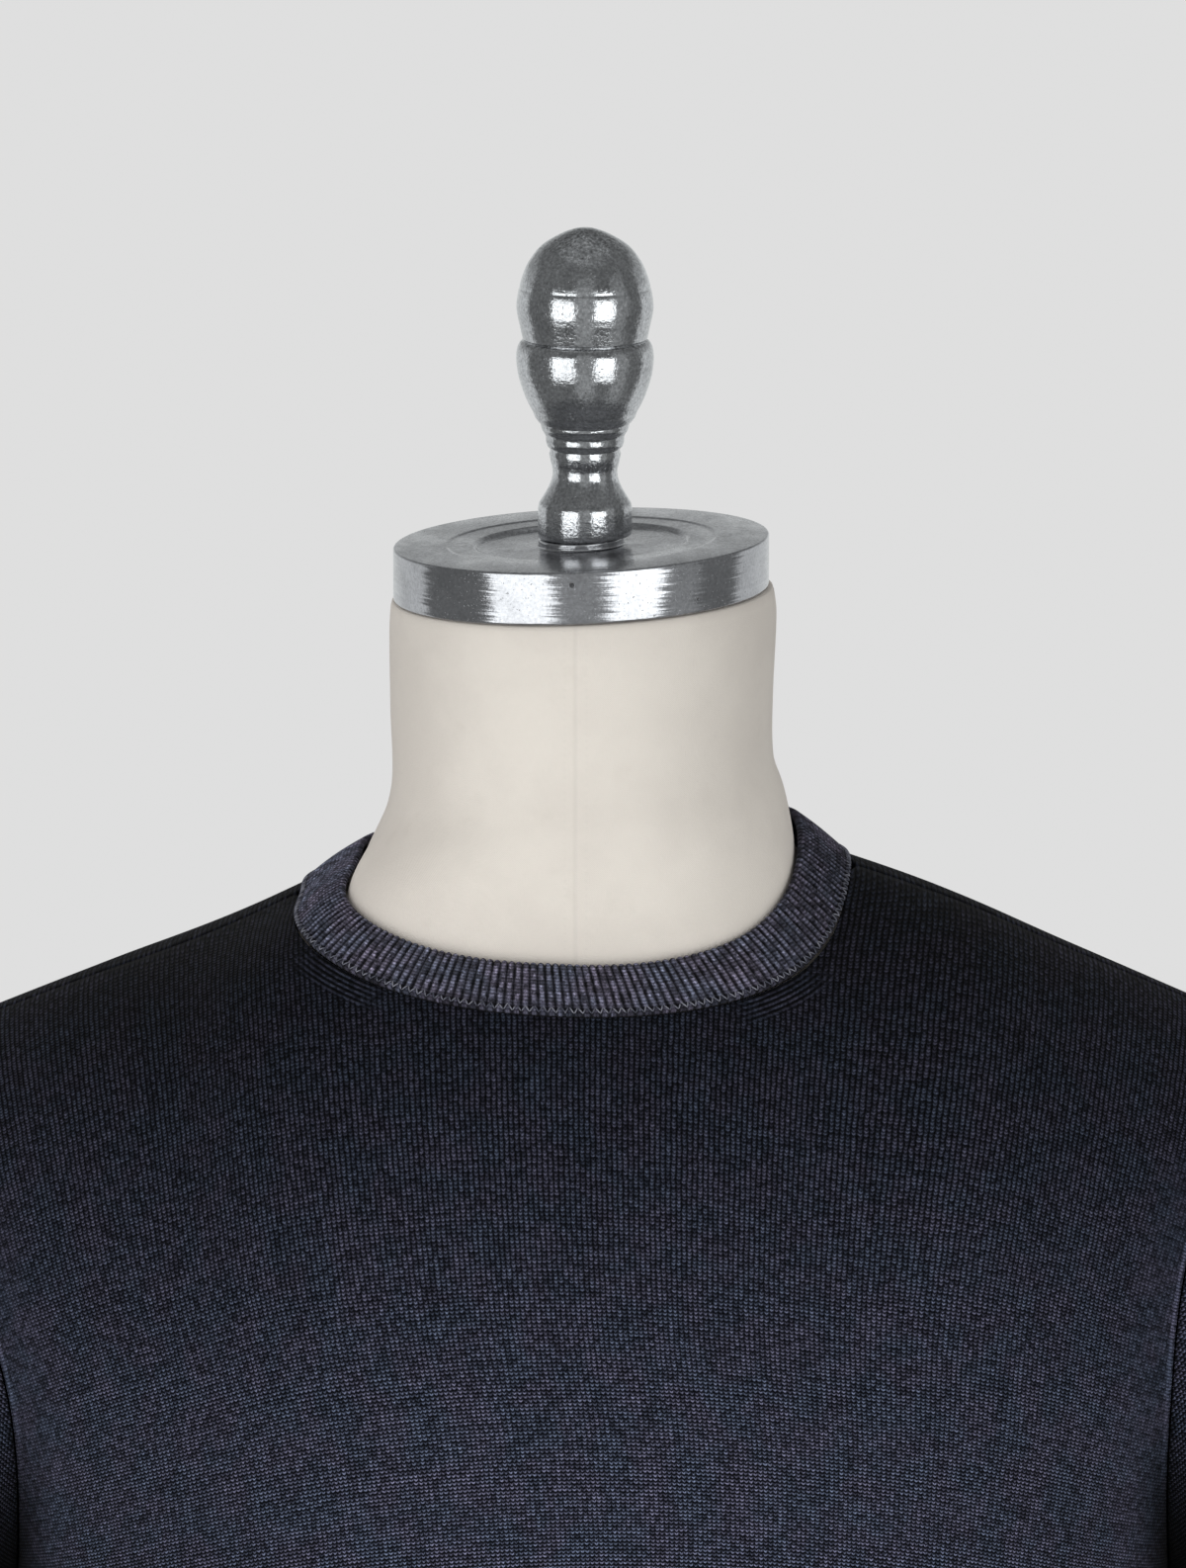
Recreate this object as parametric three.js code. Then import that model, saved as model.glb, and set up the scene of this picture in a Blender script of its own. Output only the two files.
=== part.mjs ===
// Crew neck sweater worn by a limbless dress form on a low stand.
// Millimetres, +Z up, the front faces -Y and the origin is the centre of the stand's underside.
//
// Heights on the garment are given as drops: millimetres below the high shoulder point, where the
// shoulder seam meets the collar. The cloth follows one shape function, and the form follows the same
// function with slightly smaller sizes, so that the cloth clears it all round.
import * as THREE from 'three';

// ---- driving sizes ----
const shoulderPointHeight = 885;      // the high shoulder point above the stand's underside
const ridgeY = 8;                     // the shoulder seams lie this far behind the neck's axis
const neckHalfWidth = 90.5;            // centre front to the high shoulder point
const shoulderSlope = THREE.MathUtils.degToRad(21.9);
const shoulderHalfWidth = 218;        // centre front to the sleeve seam on the shoulder
const underarmDrop = 245;
const hemSeamDrop = 620;
const hemDrop = 682;
const frontNeckDrop = 26;
const backNeckDrop = 8.8;
const neckCurvePower = { front: 2.2, back: 1.6 };  // 2 is an ellipse, more is a flatter scoop
const armholeScoop = 15;              // how far the armhole curves in from a straight line

const bodyWall = 1.6;                 // plain knit
const ribWall = 2.4;                  // rib of the collar, hem and cuffs
const seamGap = 0.3;
const collarWidth = { front: 20.2, back: 24.6 };
const collarLean = { front: 44, back: 64, left: 33, right: 40.5 };  // degrees above level
const collarAim = { x: -9, y: -4.5 }; // the collar's rows lean in towards this point
const collarProud = 0.9;              // the rib stands this far above the plain knit

const cuffSeamDrop = 600;
const cuffDrop = 660;

const neckTopDrop = -97;
const formFootDrop = 735;
const formSeat = 3.5;                 // the form's shoulder below the cloth's outer face
const capRadius = 61.5;
const capThickness = 17.2;
const capDish = { softEdge: 44, brink: 38.5, floor: 36.5, boss: 14 };  // radii on the cap's top
const capBoss = 0.9;                  // the cap's boss stands this far above its rim
const knobOffset = 1.3;               // the knob sits a little to the right of the cap's middle

const baseRadius = 150;
const baseThickness = 16;
const columnRadius = 15;

// ---- sections ----
// Cloth: half is the half-width, front and back are depths from the shoulder line, and power is the
// exponent of the section's rounded outline.
const clothSections = [
  { drop: -20, half: 250, front: 133, back: 113, power: 2.2 },
  { drop: 60, half: 249, front: 133, back: 113, power: 2.2 },
  { drop: 100, half: 241, front: 133, back: 113, power: 2.25 },
  { drop: 150, half: 224, front: 133, back: 113, power: 2.3 },
  { drop: 200, half: 205, front: 133, back: 112, power: 2.35 },
  { drop: 245, half: 192, front: 132, back: 110, power: 2.35 },
  { drop: 330, half: 186, front: 129, back: 103, power: 2.3 },
  { drop: 430, half: 181, front: 121, back: 98, power: 2.3 },
  { drop: 520, half: 182, front: 119, back: 104, power: 2.3 },
  { drop: 596, half: 185, front: 121, back: 112, power: 2.3 },
  { drop: 620, half: 179, front: 115, back: 107, power: 2.3 },
  { drop: 682, half: 177, front: 113, back: 105, power: 2.3 },
];

// Form: the same columns, with the shoulder ending inside the sleeve heads.
const formSections = [
  { drop: -20, half: 207, front: 124, back: 106, power: 2.2 },
  { drop: 60, half: 206, front: 124, back: 106, power: 2.2 },
  { drop: 100, half: 203, front: 124, back: 106, power: 2.25 },
  { drop: 150, half: 197, front: 124, back: 106, power: 2.3 },
  { drop: 200, half: 190, front: 124, back: 105, power: 2.35 },
  { drop: 245, half: 185, front: 123, back: 103, power: 2.35 },
  { drop: 330, half: 178, front: 120, back: 95, power: 2.3 },
  { drop: 430, half: 171, front: 111, back: 89, power: 2.3 },
  { drop: 520, half: 172, front: 109, back: 95, power: 2.3 },
  { drop: 600, half: 173, front: 110, back: 102, power: 2.3 },
  { drop: 682, half: 171, front: 107, back: 99, power: 2.3 },
  { drop: 735, half: 166, front: 103, back: 96, power: 2.3 },
];

// Neck of the form: centre, half-width, half-depth and the exponent of its rounded outline. It widens
// and squares off towards the shoulders, up to the collar that lies round it.
const neckSections = [
  { drop: -97, centreX: 0.4, centreY: 0, half: 62.6, depth: 62.4, power: 2 },
  { drop: -88, centreX: 0.6, centreY: 0, half: 63.4, depth: 62.8, power: 2 },
  { drop: -62, centreX: 0.2, centreY: 0, half: 62.8, depth: 62.2, power: 2 },
  { drop: -40, centreX: 0.4, centreY: 0, half: 62.6, depth: 62, power: 2 },
  { drop: -30, centreX: 1.4, centreY: 0.4, half: 64.8, depth: 62.8, power: 2.1 },
  { drop: -20, centreX: 1.4, centreY: 0.8, half: 67.8, depth: 63.6, power: 2.3 },
  { drop: -12, centreX: 1.2, centreY: 1.4, half: 70.2, depth: 65, power: 2.4 },
  { drop: -4, centreX: 1.2, centreY: 1.8, half: 72, depth: 66.1, power: 2.5 },
  { drop: 4, centreX: 1.4, centreY: 2.2, half: 74.1, depth: 67.8, power: 2.5 },
  { drop: 12, centreX: 1.4, centreY: 1.6, half: 74.9, depth: 68.7, power: 2.3 },
  { drop: 40, centreX: 0, centreY: 1.4, half: 76, depth: 70, power: 2.3 },
];

// Sleeve below the bend of the shoulder: centre, half-width, half-depth, and how much lower the ring
// is on the body side than on the outer side.
const sleeveSections = [
  { drop: 220, centreX: 232, centreY: 4, half: 37.5, depth: 66, tilt: 50 },
  { drop: 285, centreX: 230.5, centreY: 4, half: 35.5, depth: 63, tilt: 22 },
  { drop: 345, centreX: 229, centreY: 2, half: 33.5, depth: 58, tilt: 4 },
  { drop: 405, centreX: 227.5, centreY: -1, half: 31.5, depth: 53, tilt: 0 },
  { drop: 465, centreX: 226.5, centreY: -6, half: 30, depth: 48, tilt: 0 },
  { drop: 525, centreX: 225.5, centreY: -12, half: 28.5, depth: 44, tilt: 0 },
  { drop: 575, centreX: 225, centreY: -17, half: 28, depth: 42, tilt: 0 },
  { drop: 600, centreX: 225, centreY: -19, half: 23, depth: 33.5, tilt: 0 },
];
const cuffSections = [
  { drop: 600, centreX: 225, centreY: -19, half: 22.6, depth: 32.6 },
  { drop: 625, centreX: 225, centreY: -21, half: 21.4, depth: 31 },
  { drop: 660, centreX: 225, centreY: -24, half: 21.8, depth: 31.4 },
];

// The form stands with its left-hand shoulder low: a small slope, in degrees, that fades out towards
// the hem. Worn, the neckline has slipped to the left, most of all in front, where it hangs level.
const tiltSections = [
  { drop: -97, tilt: 2.3, frontTilt: 2.3, shift: 0, frontShift: 0 },
  { drop: -60, tilt: 2.5, frontTilt: 2.5, shift: 0, frontShift: 0 },
  { drop: -30, tilt: 2.7, frontTilt: -1.2, shift: 0, frontShift: 0 },
  { drop: -8, tilt: 2.9, frontTilt: -2.4, shift: -2, frontShift: -7.1 },
  { drop: 10, tilt: 2.9, frontTilt: -2.4, shift: -2, frontShift: -7.1 },
  { drop: 30, tilt: 1.5, frontTilt: -2.2, shift: -2, frontShift: -6.9 },
  { drop: 60, tilt: 0.7, frontTilt: -2, shift: -2, frontShift: -6.6 },
  { drop: 130, tilt: 0.6, frontTilt: -0.4, shift: -1, frontShift: -3 },
  { drop: 200, tilt: 0.5, frontTilt: 0.5, shift: 0, frontShift: 0 },
  { drop: 600, tilt: 0, frontTilt: 0, shift: 0, frontShift: 0 },
  { drop: 735, tilt: 0, frontTilt: 0, shift: 0, frontShift: 0 },
];
const frontOf = { starts: -5, whole: 60 };        // how far forward of the neck's axis
const reachOfSlip = { whole: 75, ends: 140 };     // distances from the centre front

// Turned knob: radius at each height above its foot.
const knobProfile = [
  { height: 0, radius: 15.4 },
  { height: 8.5, radius: 15.4 },
  { height: 11.2, radius: 15 },
  { height: 16.5, radius: 11.9 },
  { height: 21, radius: 10.6 },
  { height: 26, radius: 11.5 },
  { height: 33, radius: 12.8 },
  { height: 38, radius: 15.2 },
  { height: 45.5, radius: 19.2 },
  { height: 52, radius: 21.6 },
  { height: 57, radius: 22.4 },
  { height: 61.4, radius: 21.7 },
  { height: 65.3, radius: 21 },
  { height: 69.5, radius: 21.6 },
  { height: 74.6, radius: 22.3 },
  { height: 80, radius: 21.8 },
  { height: 85.5, radius: 20.5 },
  { height: 90.4, radius: 18.4 },
  { height: 95.7, radius: 14.4 },
  { height: 99.5, radius: 8.6 },
  { height: 101.6, radius: 0 },
];

// ---- materials ----
const knit = () => new THREE.MeshStandardMaterial({ color: 0x2a2d38, roughness: 0.95, metalness: 0 });
const rib = () => new THREE.MeshStandardMaterial({ color: 0x383944, roughness: 0.95, metalness: 0 });
const canvas = () => new THREE.MeshStandardMaterial({ color: 0xdfd8d0, roughness: 0.9, metalness: 0 });
const steel = () => new THREE.MeshStandardMaterial({ color: 0xa9abad, roughness: 0.35, metalness: 1 });

// ---- tables and shape functions ----
// Reads every column of a table at one drop, with smooth curves between the rows.
function readTable(table, drop) {
  const last = table.length - 1;
  const clamped = Math.min(Math.max(drop, table[0].drop), table[last].drop);
  let row = 0;
  while (row < last - 1 && table[row + 1].drop < clamped) row += 1;
  const before = table[Math.max(row - 1, 0)];
  const from = table[row];
  const to = table[row + 1];
  const after = table[Math.min(row + 2, last)];
  const span = to.drop - from.drop;
  const t = (clamped - from.drop) / span;
  const result = {};
  for (const column of Object.keys(from)) {
    const slopeFrom = (to[column] - before[column]) / (to.drop - before.drop);
    const slopeTo = (after[column] - from[column]) / (after.drop - from.drop);
    result[column] = from[column] * (1 + 2 * t) * (1 - t) ** 2
      + to[column] * t * t * (3 - 2 * t)
      + slopeFrom * span * t * (1 - t) ** 2
      + slopeTo * span * t * t * (t - 1);
  }
  return result;
}

// Drop of the shoulder line at a distance from the centre; it levels off across the neck.
function ridgeDrop(x) {
  const away = Math.abs(x);
  const run = away > neckHalfWidth
    ? away - neckHalfWidth
    : (away * away) / (2 * neckHalfWidth) - neckHalfWidth / 2;
  return run * Math.tan(shoulderSlope);
}

// How quickly each side of the body swells out below the shoulder line.
const swell = { front: 3.6, back: 6.8 };

// Depth of the body's surface from the shoulder line, on the front or the back.
function bodyDepth(sections, side, x, drop, lowered) {
  const section = readTable(sections, drop);
  const ridge = ridgeDrop(x) + lowered;
  const fall = Math.min(Math.max((drop - ridge) / (underarmDrop - ridge), 0), 1);
  const across = Math.min(Math.abs(x) / section.half, 1);
  const round = (1 - across ** section.power) ** (1 / section.power);
  return section[side] * Math.sqrt(1 - (1 - fall) ** swell[side]) * round;
}

// Outward unit normal of the cloth's outer face, taken just inside the surface's own edges.
function bodyNormal(side, x, drop) {
  const step = 1e-3;
  const sign = side === 'front' ? -1 : 1;
  const inX = x * (1 - 1e-5) - Math.sign(x) * step;
  const inDrop = drop + 2 * step;
  const depth = (atX, atDrop) => bodyDepth(clothSections, side, atX, atDrop, 0);
  const perX = (depth(inX + step / 2, inDrop) - depth(inX - step / 2, inDrop)) / step;
  const perDrop = (depth(inX, inDrop + step / 2) - depth(inX, inDrop - step / 2)) / step;
  return new THREE.Vector3(-perX, sign, perDrop).normalize();
}

function clothPoint(side, x, drop) {
  const sign = side === 'front' ? -1 : 1;
  const depth = bodyDepth(clothSections, side, x, drop, 0);
  return new THREE.Vector3(x, ridgeY + sign * (depth + seamGap / 2), -drop);
}

// Tips a point with the form's shoulders, moves it with the slipped neckline, and lifts it to its
// height above the stand.
function place(point) {
  const { lerp, smoothstep, degToRad } = THREE.MathUtils;
  const { tilt, frontTilt, shift, frontShift } = readTable(tiltSections, -point.z);
  const slips = 1 - smoothstep(Math.abs(point.x), reachOfSlip.whole, reachOfSlip.ends);
  const inFront = smoothstep(-point.y, frontOf.starts, frontOf.whole) * slips;
  const rise = point.x * Math.tan(degToRad(lerp(tilt, frontTilt, inFront)));
  const across = lerp(shift * slips, frontShift, inFront);
  return new THREE.Vector3(point.x + across, point.y, point.z + rise + shoulderPointHeight);
}

// ---- mesh builders ----
function geometryFrom(points, faces) {
  const geometry = new THREE.BufferGeometry();
  const positions = points.flatMap((point) => [point.x, point.y, point.z]);
  geometry.setAttribute('position', new THREE.Float32BufferAttribute(positions, 3));
  const cross = new THREE.Vector3();
  let volume = 0;
  for (const [a, b, c] of faces) {
    volume += cross.crossVectors(points[a], points[b]).dot(points[c]);
  }
  const outward = volume > 0 ? faces : faces.map(([a, b, c]) => [a, c, b]);
  geometry.setIndex(outward.flat());
  geometry.computeVertexNormals();
  return geometry;
}

// A wall between two grids of points, grid[column][row]; it closes on itself where it goes round.
function wallGeometry(outer, inner, goesRound) {
  const columns = outer.length;
  const rows = outer[0].length;
  const points = [...outer.flat(), ...inner.flat()];
  const at = (column, row, layer) => layer * columns * rows + (column % columns) * rows + row;
  const faces = [];
  const quad = (a, b, c, d) => faces.push([a, b, c], [a, c, d]);
  const spans = goesRound ? columns : columns - 1;
  for (let i = 0; i < spans; i += 1) {
    for (let j = 0; j < rows - 1; j += 1) {
      quad(at(i, j, 0), at(i + 1, j, 0), at(i + 1, j + 1, 0), at(i, j + 1, 0));
      quad(at(i, j, 1), at(i, j + 1, 1), at(i + 1, j + 1, 1), at(i + 1, j, 1));
    }
    quad(at(i, 0, 0), at(i, 0, 1), at(i + 1, 0, 1), at(i + 1, 0, 0));
    quad(at(i, rows - 1, 0), at(i + 1, rows - 1, 0), at(i + 1, rows - 1, 1), at(i, rows - 1, 1));
  }
  if (!goesRound) {
    for (let j = 0; j < rows - 1; j += 1) {
      quad(at(0, j, 0), at(0, j + 1, 0), at(0, j + 1, 1), at(0, j, 1));
      const end = columns - 1;
      quad(at(end, j, 0), at(end, j, 1), at(end, j + 1, 1), at(end, j + 1, 0));
    }
  }
  return geometryFrom(points, faces);
}

// A solid through closed rings of points, with a flat fan at each end.
function loftGeometry(rings) {
  const around = rings[0].length;
  const points = rings.flat();
  const faces = [];
  for (let i = 0; i < rings.length - 1; i += 1) {
    for (let j = 0; j < around; j += 1) {
      const next = (j + 1) % around;
      const a = i * around;
      faces.push([a + j, a + next, a + around + next], [a + j, a + around + next, a + around + j]);
    }
  }
  const addFan = (ring, flipped) => {
    const centre = points.length;
    const sum = rings[ring].reduce((total, point) => total.add(point), new THREE.Vector3());
    points.push(sum.divideScalar(around));
    for (let j = 0; j < around; j += 1) {
      const a = ring * around + j;
      const b = ring * around + ((j + 1) % around);
      faces.push(flipped ? [b, a, centre] : [a, b, centre]);
    }
  };
  addFan(0, true);
  addFan(rings.length - 1, false);
  return geometryFrom(points, faces);
}

// Unit normals of a grid of points that closes on itself, pointing away from its middle.
function tubeNormals(grid) {
  const columns = grid.length;
  const last = grid[0].length - 1;
  const middles = grid[0].map((_, row) => {
    const sum = grid.reduce((total, column) => total.add(column[row]), new THREE.Vector3());
    return sum.divideScalar(columns);
  });
  return grid.map((column, i) => column.map((point, row) => {
    const round = grid[(i + 1) % columns][row].clone().sub(grid[(i + columns - 1) % columns][row]);
    const along = column[Math.min(row + 1, last)].clone().sub(column[Math.max(row - 1, 0)]);
    const normal = round.cross(along).normalize();
    const away = point.clone().sub(middles[row]);
    return normal.dot(away) < 0 ? normal.negate() : normal;
  }));
}

function offsetGrid(grid, normals, distance) {
  return grid.map((column, i) => column.map((point, j) => (
    point.clone().addScaledVector(normals[i][j], distance)
  )));
}

function tubeWall(grid, wall) {
  const inner = offsetGrid(grid, tubeNormals(grid), -wall);
  return wallGeometry(grid.map((column) => column.map(place)),
    inner.map((column) => column.map(place)), true);
}

// ---- front and back panels ----
const neckSpans = 8;                  // columns from the centre to the high shoulder point
const shoulderSpans = 6;              // columns from there to the sleeve seam
const yokeRows = 12;
const trunkRows = 8;

// Half of the seam between a panel and the collar, from the centre to the high shoulder point.
class NeckSeam extends THREE.Curve {
  constructor(side) {
    super();
    this.side = side;
    this.depth = side === 'front' ? frontNeckDrop : backNeckDrop;
    this.power = neckCurvePower[side];
    this.arcLengthDivisions = 400;
  }

  place(t) {
    const angle = (Math.PI / 2) * t;
    const x = neckHalfWidth * Math.sin(angle) ** (2 / this.power);
    const drop = this.depth * Math.max(Math.cos(angle), 0) ** (2 / this.power);
    return { x, drop };
  }

  getPoint(t) {
    const { x, drop } = this.place(t);
    return clothPoint(this.side, x, drop);
  }
}

// Where each column of a panel meets the top edge, from the left sleeve seam to the right one, and
// what share of the panel's half-width the column has reached at the underarm.
function panelColumns(side) {
  const seam = new NeckSeam(side);
  const spans = neckSpans + shoulderSpans;
  const right = [];
  for (let i = 1; i <= spans; i += 1) {
    const share = Math.sin((Math.PI / 2) * (i / spans));
    if (i <= neckSpans) {
      right.push({ ...seam.place(seam.getUtoTmapping(i / neckSpans)), share });
    } else {
      const reach = Math.sin((Math.PI / 2) * ((i - neckSpans) / shoulderSpans));
      const x = neckHalfWidth + (shoulderHalfWidth - neckHalfWidth) * reach;
      right.push({ x, drop: ridgeDrop(x), share });
    }
  }
  const left = right.map(({ x, drop, share }) => ({ x: -x, drop, share: -share })).reverse();
  return [...left, { ...seam.place(0), share: 0 }, ...right];
}

const shoulderEndDrop = ridgeDrop(shoulderHalfWidth);

function armholeHalfWidth(drop) {
  const t = (drop - shoulderEndDrop) / (underarmDrop - shoulderEndDrop);
  const underarmHalf = readTable(clothSections, underarmDrop).half;
  const straight = shoulderHalfWidth + (underarmHalf - shoulderHalfWidth) * t;
  return straight - armholeScoop * Math.sin(Math.PI * t);
}

function panelHalfWidth(drop) {
  if (drop <= shoulderEndDrop) return shoulderHalfWidth;
  if (drop >= underarmDrop) return readTable(clothSections, drop).half;
  return armholeHalfWidth(drop);
}

const easeBothEnds = (t) => (1 - Math.cos(Math.PI * t)) / 2;

function panelGeometry(side) {
  const outer = [];
  const inner = [];
  for (const column of panelColumns(side)) {
    const onRidge = Math.abs(column.x) >= neckHalfWidth - 1e-6;
    const topDrop = onRidge ? column.drop : column.drop + seamGap;
    const places = [];
    for (let i = 0; i < yokeRows; i += 1) {
      const way = easeBothEnds(i / yokeRows);
      const drop = topDrop + (underarmDrop - topDrop) * way;
      const fraction = THREE.MathUtils.lerp(column.x / shoulderHalfWidth, column.share, way);
      places.push({ x: fraction * panelHalfWidth(drop), drop });
    }
    for (let i = 0; i <= trunkRows; i += 1) {
      const trunk = hemSeamDrop - seamGap - underarmDrop;
      const drop = underarmDrop + trunk * Math.sin((Math.PI / 2) * (i / trunkRows));
      places.push({ x: column.share * panelHalfWidth(drop), drop });
    }
    const outerColumn = places.map(({ x, drop }) => clothPoint(side, x, drop));
    const innerColumn = outerColumn.map((point, i) => (
      point.clone().addScaledVector(bodyNormal(side, point.x, places[i].drop), -bodyWall)
    ));
    outer.push(outerColumn.map(place));
    inner.push(innerColumn.map(place));
  }
  return wallGeometry(outer, inner, false);
}

// Columns of both panels as one loop: the front from left to right, then the back.
function loopColumns(isWanted) {
  const front = panelColumns('front').filter(isWanted).map((column) => ({ ...column, side: 'front' }));
  const back = panelColumns('back').filter(isWanted).map((column) => ({ ...column, side: 'back' }));
  return [...front, ...back.slice(1, -1).reverse()];
}

// ---- collar ----
const frontEndsAt = -40;  // the collar keeps its front width and lean as far back as this
const backStartsAt = 30;
const sideTurnsOver = 60;  // the lean changes from left to right over this much each way

// How steeply the collar leans in at a point of its seam, in radians.
function leanAt(seam) {
  const { lerp, smoothstep, degToRad } = THREE.MathUtils;
  const middle = lerp(collarLean.front, collarLean.back, smoothstep(seam.y, frontEndsAt, ridgeY));
  const across = smoothstep(seam.x, -sideTurnsOver, sideTurnsOver);
  const side = lerp(collarLean.left, collarLean.right, across);
  return degToRad(lerp(middle, side, Math.min(Math.abs(seam.x) / neckHalfWidth, 1)));
}

function collarGeometry() {
  const rows = 3;
  const middle = new THREE.Vector3(collarAim.x, collarAim.y, 0);
  const reachesNeck = ({ x }) => Math.abs(x) < neckHalfWidth + 1e-6;
  const grid = loopColumns(reachesNeck).map(({ side, x, drop }) => {
    const seam = clothPoint(side, x, drop);
    if (drop < 1e-6) seam.y = ridgeY;
    seam.addScaledVector(bodyNormal(side, x, drop), collarProud);
    const inward = middle.clone().sub(seam).setZ(0).normalize();
    const lean = leanAt(seam);
    const behind = THREE.MathUtils.smoothstep(seam.y, frontEndsAt, backStartsAt);
    const width = THREE.MathUtils.lerp(collarWidth.front, collarWidth.back, behind);
    const along = inward.multiplyScalar(Math.cos(lean)).setZ(Math.sin(lean));
    const column = [];
    for (let j = 0; j <= rows; j += 1) {
      column.push(seam.clone().addScaledVector(along, seamGap + (width * j) / rows));
    }
    return column;
  });
  return tubeWall(grid, ribWall);
}

// ---- hem rib ----
function hemGeometry() {
  const rows = 3;
  const grid = loopColumns(() => true).map(({ side, share }) => {
    const column = [];
    for (let j = 0; j <= rows; j += 1) {
      const drop = hemSeamDrop + ((hemDrop - hemSeamDrop) * j) / rows;
      const point = clothPoint(side, share * readTable(clothSections, drop).half, drop);
      if (Math.abs(share) > 1 - 1e-6) point.y = ridgeY;
      column.push(point);
    }
    return column;
  });
  return tubeWall(grid, ribWall);
}

// ---- sleeves ----
const sleeveColumns = 2 * yokeRows;
const capRows = 7;

// Point on the armhole seam; 0 is the shoulder end, half a turn is the underarm.
function armholePoint(turn) {
  const side = turn <= 0.5 ? 'front' : 'back';
  const down = side === 'front' ? turn * 2 : (1 - turn) * 2;
  const drop = shoulderEndDrop + (underarmDrop - shoulderEndDrop) * easeBothEnds(down);
  const x = armholeHalfWidth(drop);
  const point = clothPoint(side, x, drop);
  if (down < 1e-6 || down > 1 - 1e-6) point.y = ridgeY;
  point.x += 2 * seamGap;
  return point;
}

function sleeveRingPoint(section, turn) {
  const angle = turn * 2 * Math.PI;
  const lower = (section.tilt ?? 0) * Math.cos(angle);
  return new THREE.Vector3(
    section.centreX + section.half * Math.cos(angle),
    section.centreY - section.depth * Math.sin(angle),
    -(section.drop - lower),
  );
}

// Column of points from the armhole, over the sleeve head and down to the cuff seam.
function sleeveColumn(turn) {
  const angle = turn * 2 * Math.PI;
  const start = armholePoint(turn);
  const end = sleeveRingPoint(sleeveSections[0], turn);
  const reach = start.distanceTo(end);
  const leave = new THREE.Vector3(
    0.6 + 0.35 * Math.cos(angle),
    -0.45 * Math.sin(angle),
    -(0.62 - 0.25 * Math.cos(angle)),
  ).normalize().multiplyScalar(reach);
  const arrive = new THREE.Vector3(0, 0, -reach);
  const column = [];
  for (let i = 0; i < capRows; i += 1) {
    const t = i / capRows;
    column.push(new THREE.Vector3()
      .addScaledVector(start, (1 + 2 * t) * (1 - t) ** 2)
      .addScaledVector(leave, t * (1 - t) ** 2)
      .addScaledVector(end, t * t * (3 - 2 * t))
      .addScaledVector(arrive, t * t * (t - 1)));
  }
  for (const section of sleeveSections.slice(0, -1)) {
    column.push(sleeveRingPoint(section, turn));
  }
  const seam = { ...sleeveSections.at(-1), drop: cuffSeamDrop - seamGap };
  column.push(sleeveRingPoint(seam, turn));
  return column;
}

const mirror = (grid) => grid.map((column) => column.map((point) => (
  new THREE.Vector3(-point.x, point.y, point.z)
)));

function sleeveGeometry(hand) {
  const grid = [];
  for (let i = 0; i < sleeveColumns; i += 1) {
    grid.push(sleeveColumn(i / sleeveColumns));
  }
  return tubeWall(hand === 'right' ? grid : mirror(grid), bodyWall);
}

function cuffGeometry(hand) {
  const columns = 20;
  const rows = 3;
  const grid = [];
  for (let i = 0; i < columns; i += 1) {
    const column = [];
    for (let j = 0; j <= rows; j += 1) {
      const drop = cuffSeamDrop + ((cuffDrop - cuffSeamDrop) * j) / rows;
      column.push(sleeveRingPoint(readTable(cuffSections, drop), i / columns));
    }
    grid.push(column);
  }
  return tubeWall(hand === 'right' ? grid : mirror(grid), ribWall);
}

// ---- dress form ----
function torsoHolds(x, y, drop) {
  const side = y < ridgeY ? 'front' : 'back';
  if (Math.abs(x) >= readTable(formSections, drop).half) return false;
  if (drop <= ridgeDrop(x) + formSeat) return false;
  return Math.abs(y - ridgeY) < bodyDepth(formSections, side, x, drop, formSeat);
}

function neckHolds(x, y, drop) {
  const { centreX, centreY, half, depth, power } = readTable(neckSections, drop);
  return Math.abs((x - centreX) / half) ** power + Math.abs((y - centreY) / depth) ** power < 1;
}

// Distance from the middle line to a body's surface in one direction, found by halving.
function reachOf(holds, direction, drop) {
  let near = 0;
  let far = 260;
  for (let i = 0; i < 30; i += 1) {
    const middle = (near + far) / 2;
    if (holds(direction.x * middle, ridgeY + direction.y * middle, drop)) near = middle;
    else far = middle;
  }
  return near;
}

// The larger of two distances, with a fillet where they are close.
function filletMax(a, b, fillet) {
  const close = Math.max(fillet - Math.abs(a - b), 0) / fillet;
  return Math.max(a, b) + (close * close * fillet) / 4;
}

const formColumns = 32;
const neckBlendDrop = 40;             // the neck column takes no part below this
const neckFillet = 7;

function formRing(drop) {
  const ring = [];
  for (let i = 0; i < formColumns; i += 1) {
    const angle = (2 * Math.PI * i) / formColumns;
    const direction = new THREE.Vector2(2 * Math.cos(angle), Math.sin(angle)).normalize();
    const torso = reachOf(torsoHolds, direction, drop);
    const neck = reachOf(neckHolds, direction, drop);
    const reach = drop < neckBlendDrop ? filletMax(torso, neck, neckFillet) : torso;
    ring.push(place(new THREE.Vector3(direction.x * reach, ridgeY + direction.y * reach, -drop)));
  }
  return ring;
}

function formGeometry() {
  const drops = [formFootDrop, 682, 600, 515, 430, 345, 290, 245, 200, 160, 125, 95, 72, 58, 50,
    45, 36, 26, 17, 10, 5, 0, -6, -14, -24, -38, -58, -80, neckTopDrop];
  return loftGeometry(drops.map(formRing));
}

// ---- metal parts ----
// A round body turned about the middle line, from radius and height pairs.
function turned(pairs, segments) {
  return new THREE.LatheGeometry(pairs.map(([radius, height]) => new THREE.Vector2(radius, height)), segments)
    .rotateX(Math.PI / 2);
}

const capLean = THREE.MathUtils.degToRad(tiltSections[0].tilt);
const capUnderside = shoulderPointHeight - neckTopDrop + seamGap;
const capTop = capUnderside + capThickness;

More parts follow.
